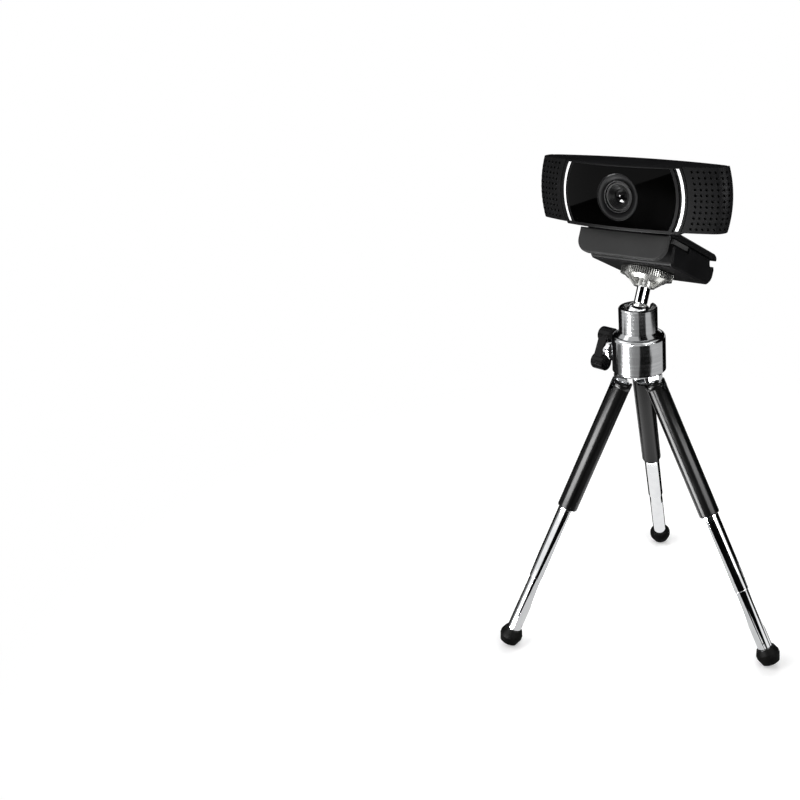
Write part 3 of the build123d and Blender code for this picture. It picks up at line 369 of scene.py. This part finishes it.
def swept_mesh(name, sections, made, closed=False):
    """Solid through a row of sections, lists of points; a closed row joins up with its start."""
    wide = len(sections[0])
    points = [point * MM for section in sections for point in section]
    faces = []
    for i in range(len(sections) if closed else len(sections) - 1):
        after = (i + 1) % len(sections)
        for j in range(wide):
            k = (j + 1) % wide
            faces.append((i * wide + j, i * wide + k, after * wide + k, after * wide + j))
    if not closed:
        faces += [tuple(range(wide)), tuple(range(len(points) - wide, len(points)))]
    data = bpy.data.meshes.new(name)
    data.from_pydata(points, [], faces)
    shape = bmesh.new()
    shape.from_mesh(data)
    bmesh.ops.recalc_face_normals(shape, faces=shape.faces)
    shape.to_mesh(data)
    shape.free()
    data.materials.append(made)
    return data


def turned_sections(outline, place, angles):
    """An outline of (radius, height) points set at each angle about a place's z."""
    return [[place @ Vector((r * cos(a), r * sin(a), h)) for r, h in outline] for a in angles]


def turned_mesh(name, outline, place, made, steps=48):
    """Ring turned about a place's z from an outline of (radius, height) points."""
    angles = [2 * pi * i / steps for i in range(steps)]
    return swept_mesh(name, turned_sections(outline, place, angles), made, True)


def bead(radius, height, thick, sides=8):
    """Round section of a ring: a circle of points about (radius, height)."""
    turns = [2 * pi * i / sides for i in range(sides)]
    return [(radius + thick * cos(t), height + thick * sin(t)) for t in turns]


def strip(inner, outer, top, foot):
    """Flat section of a shell, between two radii and two heights."""
    return [(inner, top), (outer, top), (outer, foot), (inner, foot)]


def start_tree(name, sizes):
    """New node tree with a geometry, named sizes and a material coming in."""
    tree = bpy.data.node_groups.new(name, "GeometryNodeTree")
    tree.interface.new_socket("Geometry", in_out="INPUT", socket_type="NodeSocketGeometry")
    for key in sizes:
        tree.interface.new_socket(key, in_out="INPUT", socket_type="NodeSocketFloat")
    tree.interface.new_socket("Material", in_out="INPUT", socket_type="NodeSocketMaterial")
    tree.interface.new_socket("Geometry", in_out="OUTPUT", socket_type="NodeSocketGeometry")
    return tree, add(tree, "NodeGroupInput").outputs


def end_tree(tree, given, shape, axis="Z", pivot="AUTO"):
    """Sets the shape on every mark, one axis facing outwards, sinks it below and closes the tree."""
    outward = add(tree, "GeometryNodeInputNamedAttribute", {"Name": "outward"}, data_type="FLOAT_VECTOR")
    facing = add(
        tree, "FunctionNodeAlignRotationToVector", (), {"Vector": outward.outputs["Attribute"]},
        axis=axis, pivot_axis=pivot,
    )
    copies = add(
        tree, "GeometryNodeInstanceOnPoints", (),
        {"Points": given["Geometry"], "Instance": shape, "Rotation": facing.outputs[0]},
    )
    below = add(tree, "ShaderNodeMath", {1: -1.0}, {0: given["Sink"]}, operation="MULTIPLY")
    shift = add(tree, "ShaderNodeCombineXYZ", (), {"Z": below.outputs[0]})
    sunk = add(
        tree, "GeometryNodeTranslateInstances", (),
        {"Instances": copies.outputs[0], "Translation": shift.outputs[0]},
    )
    whole = add(tree, "GeometryNodeRealizeInstances", (), {"Geometry": sunk.outputs[0]})
    painted = add(
        tree, "GeometryNodeSetMaterial", (), {"Geometry": whole.outputs[0], "Material": given["Material"]}
    )
    add(tree, "NodeGroupOutput", (), {"Geometry": painted.outputs[0]})
    return tree


def lip_tree():
    """Flat rounded lip round a hole."""
    tree, given = start_tree("hole_lips", ["Hole Radius", "Lip Width", "Lip Height", "Sink"])
    path = add(tree, "GeometryNodeCurvePrimitiveCircle", {"Resolution": 14}, {"Radius": given["Hole Radius"]})
    section = add(tree, "GeometryNodeCurvePrimitiveCircle", {"Resolution": 6}, {"Radius": given["Lip Width"]})
    ring = add(
        tree, "GeometryNodeCurveToMesh", (), {"Curve": path.outputs[0], "Profile Curve": section.outputs[0]}
    )
    flatness = add(
        tree, "ShaderNodeMath", (), {0: given["Lip Height"], 1: given["Lip Width"]}, operation="DIVIDE"
    )
    squash = add(tree, "ShaderNodeCombineXYZ", {"X": 1.0, "Y": 1.0}, {"Z": flatness.outputs[0]})
    flat = add(
        tree, "GeometryNodeTransform", (), {"Geometry": ring.outputs[0], "Scale": squash.outputs[0]}
    )
    return end_tree(tree, given, flat.outputs[0])


def disc_tree():
    """Thin disc at the bottom of a hole, dust cloth and painted shade, or a mark pressed into a tube."""
    tree, given = start_tree("discs", ["Disc Radius", "Disc Thickness", "Sink"])
    disc = add(
        tree, "GeometryNodeMeshCylinder", {"Vertices": 12},
        {"Radius": given["Disc Radius"], "Depth": given["Disc Thickness"]},
    )
    return end_tree(tree, given, disc.outputs["Mesh"])


def bar_tree():
    """Slim bar that stands along the z of the marks' frame."""
    tree, given = start_tree("bars", ["Bar Depth", "Bar Width", "Bar Height", "Sink"])
    size = add(
        tree, "ShaderNodeCombineXYZ", (),
        {"X": given["Bar Depth"], "Y": given["Bar Width"], "Z": given["Bar Height"]},
    )
    bar = add(tree, "GeometryNodeMeshCube", (), {"Size": size.outputs[0]})
    return end_tree(tree, given, bar.outputs["Mesh"], "X", "Z")


def grow(name, tree, marks, sizes, made, body, place):
    """Grows a tree on marks, (point, outward) pairs in a place's frame, into one mesh on a body."""
    data = bpy.data.meshes.new(name)
    data.from_pydata([at * MM for at, outward in marks], [], [])
    facing = data.attributes.new("outward", "FLOAT_VECTOR", "POINT")
    for item, (at, outward) in zip(facing.data, marks):
        item.vector = outward
    seed = bpy.data.objects.new(name + "_marks", data)
    scene.collection.objects.link(seed)
    grower = seed.modifiers.new("grow", "NODES")
    grower.node_group = tree
    for item in tree.interface.items_tree:
        if item.in_out == "INPUT" and item.name in sizes:
            grower[item.identifier] = sizes[item.name] * MM
        if item.in_out == "INPUT" and item.name == "Material":
            grower[item.identifier] = made
    bpy.context.view_layer.update()
    shown = seed.evaluated_get(bpy.context.evaluated_depsgraph_get())
    grown = bpy.data.meshes.new_from_object(shown)
    bpy.data.objects.remove(seed)
    grown.transform(Matrix.Translation(place.translation * MM) @ place.to_3x3().to_4x4())
    place_piece(name, grown, body)


hole_lips = lip_tree()
discs = disc_tree()
bars = bar_tree()

# Microphone holes: a moulded lip round each, and at its bottom a black disc of dust cloth and painted shade
nose_y = FRONT_RADIUS - sqrt((FRONT_RADIUS - NOSE_RADIUS) ** 2 - NOSE_X**2)
nose_angle = asin(NOSE_X / (FRONT_RADIUS - NOSE_RADIUS))
first_angle = asin(FIRST_HOLE / FRONT_RADIUS)
front_run = (nose_angle - first_angle) * FRONT_RADIUS


def hole_mark(column, height, side):
    """Place and outward direction of one microphone hole."""
    along = column * HOLE_PITCH
    if along < front_run:
        angle = first_angle + along / FRONT_RADIUS
        reach = FRONT_RADIUS * sin(angle)
        depth = FRONT_RADIUS * (1 - cos(angle))
    else:
        angle = nose_angle + (along - front_run) / NOSE_RADIUS
        reach = NOSE_X + NOSE_RADIUS * sin(angle)
        depth = nose_y - NOSE_RADIUS * cos(angle)
    turn = asin(height / reach)
    outward = Vector((side * sin(angle) * cos(turn), -cos(angle), sin(angle) * sin(turn)))
    return Vector((side * reach * cos(turn), depth, height)), outward


lip_sizes = {
    "Hole Radius": HOLE_RADIUS, "Lip Width": HOLE_LIP_WIDTH, "Lip Height": HOLE_LIP_HEIGHT, "Sink": 0.0
}
cloth_and_shade_sizes = {"Disc Radius": CLOTH_RADIUS, "Disc Thickness": CLOTH_THICKNESS, "Sink": CLOTH_DEPTH}
row_heights = [(row - (HOLE_ROWS - 1) / 2) * HOLE_PITCH + ROW_MIDDLE for row in range(HOLE_ROWS)]
for side, name in ((-1, "left"), (1, "right")):
    marks = [hole_mark(column, height, side) for height in row_heights for column in range(HOLE_COLUMNS)]
    for piece, tree, sizes, made in (
        ("lips", hole_lips, lip_sizes, abs_charcoal),
        ("cloth", discs, cloth_and_shade_sizes, cloth_and_shade_black),
    ):
        grow(f"{name}_hole_{piece}", tree, marks, sizes, made, "webcam", webcam_place)

# Tube ends: a rolled lip where a section comes out of the next, and two punch marks above each foot
punch_sizes = {"Disc Radius": PUNCH_RADIUS, "Disc Thickness": PUNCH_THICKNESS, "Sink": PUNCH_SINK}
punch_outwards = [Vector((cos(radians(a)), sin(radians(a)), 0)) for a in PUNCH_ANGLES]
punch_marks = [(out * LOWER_TUBE_RADIUS + Vector((0, 0, PUNCH_AT)), out) for out in punch_outwards]
for leg, place in leg_places.items():
    name = f"{leg}_rolled_lip"
    lip = turned_mesh(name, bead(ROLL_RADIUS, MIDDLE_TUBE_END[leg], ROLL_BEAD), place, chrome)
    place_piece(name, lip, f"{leg}_middle")
    name = f"{leg}_punch_marks"
    grow(name, discs, punch_marks, punch_sizes, chrome_struck, f"{leg}_lower", place)

# Locking wheel: painted shade, a dark bar at the bottom of each knurl groove
groove_sizes = {
    "Bar Depth": GROOVE_DEPTH, "Bar Width": GROOVE_WIDTH, "Bar Height": GROOVE_HEIGHT, "Sink": 0.0
}
groove_angles = [2 * pi * i / WHEEL_TEETH for i in range(WHEEL_TEETH)]
groove_outwards = [Vector((cos(a), sin(a), 0)) for a in groove_angles]
groove_foot = Vector((0, 0, WHEEL_MIDDLE))
groove_marks = [(out * (WHEEL_RADIUS - GROOVE_INSET) + groove_foot, out) for out in groove_outwards]
# The bars borrow the black anodised finish as painted shade in the grooves
grow(
    "knurl_groove_painted_shade", bars, groove_marks, groove_sizes, anodised_black, "locking_wheel",
    stem_place,
)

# Leg tops: the enamel runs up each cheek of the clevis, as two shells either side of its slot
cheek_outline = strip(CHEEK_INNER, CHEEK_OUTER, CHEEK_TOP, CHEEK_FOOT)
cheek_reach = pi / 2 - radians(CHEEK_GAP)
cheek_turns = [cheek_reach * (2 * i / CHEEK_STEPS - 1) for i in range(CHEEK_STEPS + 1)]
for leg, place in leg_places.items():
    for side, middle in (("left", pi / 2), ("right", -pi / 2)):
        name = f"{leg}_{side}_cheek"
        sections = turned_sections(cheek_outline, place, [middle + turn for turn in cheek_turns])
        place_piece(name, swept_mesh(name, sections, enamel_black), f"{leg}_leg")

# Light guides: a black mask over the inner edge of each, so that only a slim arc shows
mask_heights = [MASK_HALF_HEIGHT * (2 * i / MASK_STEPS - 1) for i in range(MASK_STEPS + 1)]
mask_outline = [
    (r, FRONT_RADIUS - sqrt(FRONT_RADIUS**2 - r**2) + depth)
    for r, depth in strip(MASK_INNER, MASK_OUTER, MASK_TOP, MASK_FOOT)
]
for side, name in ((-1, "left_light_mask"), (1, "right_light_mask")):
    sections = [
        [webcam_place @ Vector((side * sqrt(r**2 - z**2), depth, z)) for r, depth in mask_outline]
        for z in mask_heights
    ]
    place_piece(name, swept_mesh(name, sections, abs_black), "webcam")

# Lock knob: a chromed sleeve on its neck, between the flange and the wings
sleeve_outline = [
    (SLEEVE_RADIUS - SLEEVE_WALL, SLEEVE_START),
    (SLEEVE_RADIUS - SLEEVE_EDGE, SLEEVE_START),
    (SLEEVE_RADIUS, SLEEVE_START + SLEEVE_EDGE),
    (SLEEVE_RADIUS, SLEEVE_END - SLEEVE_EDGE),
    (SLEEVE_RADIUS - SLEEVE_EDGE, SLEEVE_END),
    (SLEEVE_RADIUS - SLEEVE_WALL, SLEEVE_END),
]
knob_sleeve = turned_mesh("knob_sleeve", sleeve_outline, lock_place, chrome)
place_piece("knob_sleeve", knob_sleeve, "lock_knob")

# Lens dish: a satin cone with a rolled outer edge round the lens ring
dish_outline = [
    (DISH_INNER, DISH_FLOOR_DEPTH),
    (DISH_OUTER, DISH_EDGE_DEPTH),
    (DISH_OUTER + DISH_SKIN, DISH_EDGE_DEPTH + DISH_SKIN),
    (DISH_INNER, DISH_FLOOR_DEPTH + DISH_SKIN),
]
rim_outline = bead(DISH_OUTER, DISH_RIM_DEPTH, DISH_RIM_BEAD)
for name, outline in (("lens_dish", dish_outline), ("lens_dish_rim", rim_outline)):
    ring = turned_mesh(name, outline, lens_place, abs_black, DISH_STEPS)
    place_piece(name, ring, "webcam")

# Lens: stepped baffle rings down the cone in front of the glass
for count, (radius, depth) in enumerate(BAFFLES):
    name = f"lens_baffle_{count + 1}"
    ring = turned_mesh(name, bead(radius, depth, BAFFLE_BEAD), lens_place, anodised_black)
    place_piece(name, ring, "lens")


# Studio: white surround, pale floor, cards that only reflections see, and soft lamps
def seen_white(tree):
    """1 for rays that show the white surround: camera, mirror and glass rays."""
    path = add(tree, "ShaderNodeLightPath")
    seen = add(
        tree, "ShaderNodeMath", (), {0: path.outputs["Is Camera Ray"], 1: path.outputs["Is Glossy Ray"]},
        operation="MAXIMUM",
    )
    return add(
        tree, "ShaderNodeMath", (), {0: seen.outputs[0], 1: path.outputs["Is Transmission Ray"]},
        operation="MAXIMUM",
    ).outputs[0]


def stage_finish(name):
    """New material for the stage, with an empty node tree."""
    made = bpy.data.materials.new(name)
    made.use_nodes = True
    made.node_tree.nodes.clear()
    return made, made.node_tree


world = bpy.data.worlds.new("white_studio")
scene.world = world
world.use_nodes = True
tree = world.node_tree
tree.nodes.clear()
light = add(tree, "ShaderNodeBackground", {"Color": hue("#ffffff"), "Strength": SURROUND_LIGHT})
white = add(tree, "ShaderNodeBackground", {"Color": hue("#ffffff"), "Strength": 1.0})
both = add(
    tree, "ShaderNodeMixShader", (), {0: seen_white(tree), 1: light.outputs[0], 2: white.outputs[0]}
)
add(tree, "ShaderNodeOutputWorld", (), {"Surface": both.outputs[0]})

# Floor paper: its shading fades to plain white away from the stand, and the shadow stays
floor_paper, tree = stage_finish("white_paper_floor")
paper = add(tree, "ShaderNodeBsdfDiffuse", {"Color": hue("#eeeeee")})
glow = add(tree, "ShaderNodeEmission", {"Color": hue("#ffffff"), "Strength": FLOOR_GLOW})
lit_paper = add(tree, "ShaderNodeAddShader", (), {0: paper.outputs[0], 1: glow.outputs[0]})
bare = add(tree, "ShaderNodeEmission", {"Color": hue("#ffffff"), "Strength": 1.0})
spot = add(tree, "ShaderNodeTexCoord").outputs["Object"]
away = add(tree, "ShaderNodeVectorMath", (), {0: spot}, operation="LENGTH").outputs["Value"]
fade = add(
    tree, "ShaderNodeMapRange", {"From Min": FADE_START * MM, "From Max": FADE_END * MM}, {"Value": away},
    interpolation_type="SMOOTHSTEP",
).outputs[0]
shown = add(tree, "ShaderNodeMixShader", (), {0: fade, 1: lit_paper.outputs[0], 2: bare.outputs[0]})
total = add(tree, "ShaderNodeMixShader", (), {0: seen_white(tree), 1: paper.outputs[0], 2: shown.outputs[0]})
add(tree, "ShaderNodeOutputMaterial", (), {"Surface": total.outputs[0]})


def card_finish(name, colour, strength=1.0):
    """Even card: felt for a flag, a lit cloth for a softbox."""
    made, tree = stage_finish(name)
    cloth = add(tree, "ShaderNodeEmission", {"Color": hue(colour), "Strength": strength})
    add(tree, "ShaderNodeOutputMaterial", (), {"Surface": cloth.outputs[0]})
    return made


black_felt = card_finish("black_felt", "#050505")
grey_felt = card_finish("grey_felt", "#7c7c7c")
mid_felt = card_finish("mid_felt", "#b4b4b4")
pale_felt = card_finish("pale_felt", "#dcdcdc")
white_felt = card_finish("white_felt", "#ffffff")
low_cloth = card_finish("softbox_cloth_low", "#ffffff", 4.0)
mid_cloth = card_finish("softbox_cloth_mid", "#ffffff", 38.0)
full_cloth = card_finish("softbox_cloth_full", "#ffffff", 90.0)
ONE_FACE = [(0, 1, 2, 3)]


def stage_sheet(name, points, faces, made):
    """A sheet of the stage through points, with faces between them."""
    data = bpy.data.meshes.new(name)
    data.from_pydata([Vector(point) * MM for point in points], [], faces)
    data.materials.append(made)
    obj = bpy.data.objects.new(name, data)
    scene.collection.objects.link(obj)
    return obj


def mirror_sheet(name, points, faces, made):
    """A sheet that only mirror rays see, so that it shapes reflections and lights nothing."""
    obj = stage_sheet(name, points, faces, made)
    obj.visible_camera = False
    obj.visible_diffuse = False
    obj.visible_transmission = False
    obj.visible_shadow = False


floor_signs = ((-1, -1), (1, -1), (1, 1), (-1, 1))
floor_corners = [(x * FLOOR_REACH, y * FLOOR_REACH, 0) for x, y in floor_signs]
stage_sheet("floor", floor_corners, ONE_FACE, floor_paper)

# Cards hang where the camera's line of sight goes after a surface mirrors it, each a little higher
card_lifts = []


def mirrored(point, normal, reach, lift):
    """Place that a surface point shows the camera, at a reach from it or on the floor if that is nearer."""
    sight = (point - EYE).normalized()
    ray = sight - 2 * sight.dot(normal) * normal
    if ray.z < 0:
        reach = min(reach, (point.z - lift) / -ray.z)
    return point + ray * reach


def card(name, rows, reach, made):
    """Card that fills a patch of a surface, given as rows of (point, normal), with one dark or lit tone."""
    lift = CARD_LIFT + CARD_RISE * len(card_lifts)
    card_lifts.append(lift)
    points = [mirrored(point, normal, reach, lift) for row in rows for point, normal in row]
    wide = len(rows[0])
    faces = [
        (i * wide + j, i * wide + j + 1, (i + 1) * wide + j + 1, (i + 1) * wide + j)
        for i in range(len(rows) - 1)
        for j in range(wide - 1)
    ]
    mirror_sheet(name, points, faces, made)


def spread(ends):
    """Evenly spaced values from the first end to the last."""
    return [ends[0] + (ends[1] - ends[0]) * i / (CARD_STEPS - 1) for i in range(CARD_STEPS)]


def tube_patch(place, radius, alongs, start_angles, end_angles):
    """Patch of a round surface about a place's z, between two angles that may change along it.

    Angles count to the picture's right from the side that faces the camera, where z runs down."""
    axis = place.to_3x3() @ Vector((0, 0, 1))
    lefts = spread((start_angles[0], end_angles[0]))
    rights = spread((start_angles[1], end_angles[1]))
    rows = []
    for along, left, right in zip(spread(alongs), lefts, rights):
        centre = place @ Vector((0, 0, along))
        toward = EYE - centre
        toward = (toward - axis * toward.dot(axis)).normalized()
        aside = toward.cross(axis)
        normals = [toward * cos(radians(a)) + aside * sin(radians(a)) for a in spread((left, right))]
        rows.append([(centre + normal * radius, normal) for normal in normals])
    return rows


def plate_patch(line_left, line_right, foot, reach):
    """Patch of the domed face plate under a line that runs from line_left to line_right."""
    centre = webcam_place @ Vector((0, FRONT_RADIUS, 0))
    rows = []
    for share in spread((0, 1)):
        row = []
        for x in spread((-reach, reach)):
            line = line_left + (line_right - line_left) * (x + reach) / (2 * reach)
            z = foot + (line - foot) * share
            point = webcam_place @ Vector((x, FRONT_RADIUS - sqrt(FRONT_RADIUS**2 - x**2 - z**2), z))
            row.append((point, (point - centre).normalized()))
        rows.append(row)
    return rows


# Leg cards: stripes on the enamel, one black stripe and shaded edges on the chrome.
# A row gives the leg, the stretch of it, the angles at its top and at its foot, the reach and the tone
ENAMEL = (-2.0, 66.0)
MIDDLE = (64.0, 104.0)
LOWER = (102.0, 134.0)
STRETCH_RADII = {ENAMEL: OUTER_TUBE_RADIUS, MIDDLE: MIDDLE_TUBE_RADIUS, LOWER: LOWER_TUBE_RADIUS}
leg_cards = [
    ("front_left", MIDDLE, (0, 34), (-6, 13), NEAR, black_felt),
    ("front_left", LOWER, (-9, 13), (-7, -4), NEAR, black_felt),
    ("front_left", MIDDLE, (36, 86), (16, 86), NEAR, pale_felt),
    ("front_left", LOWER, (15, 86), (-3, 86), NEAR, pale_felt),
    ("front_left", MIDDLE, (-86, -52), (-86, -52), NEAR, black_felt),
    ("front_left", LOWER, (-86, -52), (-86, -52), NEAR, black_felt),
    ("front_left", MIDDLE, (-52, -38), (-52, -38), NEAR, grey_felt),
    ("front_left", LOWER, (-52, -38), (-52, -38), NEAR, grey_felt),
    ("front_right", MIDDLE, (-24, 15), (-22, 22), NEAR, black_felt),
    ("front_right", LOWER, (-17, 28), (4, 14), NEAR, black_felt),
    ("front_right", MIDDLE, (64, 86), (64, 86), NEAR, black_felt),
    ("front_right", LOWER, (64, 86), (64, 86), NEAR, black_felt),
    ("front_right", MIDDLE, (-86, -40), (-86, -40), NEAR, pale_felt),
    ("front_right", LOWER, (-86, -40), (-86, -40), NEAR, pale_felt),
    ("rear", MIDDLE, (-86, -55), (-86, -55), NEAR, black_felt),
    ("rear", LOWER, (-86, -62), (-86, -62), NEAR, black_felt),
    ("rear", MIDDLE, (45, 86), (45, 86), NEAR, black_felt),
    ("rear", LOWER, (62, 86), (62, 86), NEAR, black_felt),
    ("rear", MIDDLE, (-54, 44), (-54, 44), NEAR, white_felt),
    ("rear", LOWER, (-60, 60), (-60, 60), NEAR, white_felt),
    ("rear", ENAMEL, (-45, 35), (-45, 35), FAR, low_cloth),
    ("front_left", ENAMEL, (-31, -7), (-31, -7), FAR, full_cloth),
    ("front_right", ENAMEL, (-45, -30), (-45, -30), FAR, full_cloth),
    ("front_right", ENAMEL, (10, 32), (10, 32), FAR, mid_cloth),
]
for count, (leg, alongs, start_angles, end_angles, reach, made) in enumerate(leg_cards):
    patch = tube_patch(leg_places[leg], STRETCH_RADII[alongs], alongs, start_angles, end_angles)
    card(f"{leg}_card_{count}", patch, reach, made)

# Satin head, mirrored in the floor: a dark band right of the middle, a grey one left of it, dark edges
head_down = Matrix.Rotation(pi, 4, "X")
head_cards = [((2, 22), black_felt), ((-24, 2), mid_felt), ((58, 88), black_felt), ((-88, -54), black_felt)]
for count, (angles, made) in enumerate(head_cards):
    card(f"head_card_{count}", tube_patch(head_down, HEAD_RADIUS, HEAD_SPAN, angles, angles), ON_FLOOR, made)

# Stem: a black stripe down its middle and dark edges
stem_down = stem_place @ Matrix.Rotation(pi, 4, "X")
stem_stripes = ((-32, 4), (60, 88), (-88, -66))
for count, angles in enumerate(stem_stripes):
    patch = tube_patch(stem_down, STEM_RADIUS, STEM_SPAN, angles, angles)
    card(f"stem_card_{count}", patch, NEAR, black_felt)

# Face plate: black below a slanting line, the pale surround above it
plate_shade = plate_patch(line_left=-7.5, line_right=13.0, foot=-14.0, reach=29.0)
card("plate_card", plate_shade, NEAR, black_felt)

# The underside of the clip mirrors a black cloth just above the floor behind the stand
cloth_corners = [(-380, 110, 1), (40, 170, 1), (70, 480, 1), (-350, 480, 1)]
mirror_sheet("floor_cloth", cloth_corners, ONE_FACE, black_felt)

# Shields at webcam height keep the lit cards off the webcam and the wheel, as (turns from the camera, top)
view_azimuth = atan2(EYE.y, EYE.x)
for name, turns, top in (("left_shield", (-85, -45, -10), 182.0), ("right_shield", (10, 45, 80), 205.0)):
    around = [view_azimuth + radians(turn) for turn in turns]
    feet = [Vector((SHIELD_REACH * cos(a), SHIELD_REACH * sin(a), SHIELD_FOOT)) for a in around]
    heads = [Vector((foot.x, foot.y, top)) for foot in feet]
    for count in (0, 1):
        corners = [feet[count], feet[count + 1], heads[count + 1], heads[count]]
        mirror_sheet(f"{name}_{count}", corners, ONE_FACE, black_felt)

# Black curtains behind the webcam and either side of it, as the ends of a run, a foot and a top
for name, start, end, foot, top in (
    ("back_curtain", (-1600, 700), (600, 700), 190.0, BACK_CURTAIN_TOP),
    ("right_curtain", (480, 140), (100, 490), 0.0, SIDE_CURTAIN_TOP),
    ("left_curtain", (-480, -60), (-380, 320), 0.0, SIDE_CURTAIN_TOP),
):
    corners = [(*start, foot), (*end, foot), (*end, top), (*start, top)]
    mirror_sheet(name, corners, ONE_FACE, black_felt)

# Lamps: soft squares as (name, place, size, watts, seen in mirrors)
for name, at, size, watts, in_mirrors in (
    ("key_softbox", (-650, -650, 900), 900, 6.0, True),
    ("side_softbox", (900, -250, 620), 800, 4.0, True),
    ("rim_softbox", (-300, 800, 850), 800, 4.0, False),
):
    data = bpy.data.lights.new(name, "AREA")
    data.size = size * MM
    data.energy = watts
    lamp = bpy.data.objects.new(name, data)
    scene.collection.objects.link(lamp)
    lamp.location = Vector(at) * MM
    lamp.rotation_euler = (LAMP_AIM - Vector(at)).to_track_quat("-Z", "Y").to_euler()
    lamp.visible_glossy = in_mirrors

# Camera at the photograph's angle
camera_data = bpy.data.cameras.new("camera")
camera_data.sensor_fit = "HORIZONTAL"
camera_data.sensor_width = SENSOR_WIDTH
camera_data.lens = FOCAL_LENGTH
camera_data.shift_x, camera_data.shift_y = FRAME_SHIFT
camera_data.clip_start = CLIP_START * MM
camera = bpy.data.objects.new("camera", camera_data)
scene.collection.objects.link(camera)
scene.camera = camera
heading = radians(HEADING)
pitch = radians(PITCH)
roll = radians(ROLL)
ahead = Vector((-sin(heading) * cos(pitch), cos(heading) * cos(pitch), -sin(pitch)))
sideways = Vector((cos(heading), sin(heading), 0))
raised = sideways.cross(ahead)
right = sideways * cos(roll) + raised * sin(roll)
upward = raised * cos(roll) - sideways * sin(roll)
turn = Matrix((right, upward, -ahead)).transposed()
camera.matrix_world = Matrix.Translation(EYE * MM) @ turn.to_4x4()

scene.view_settings.view_transform = "Standard"
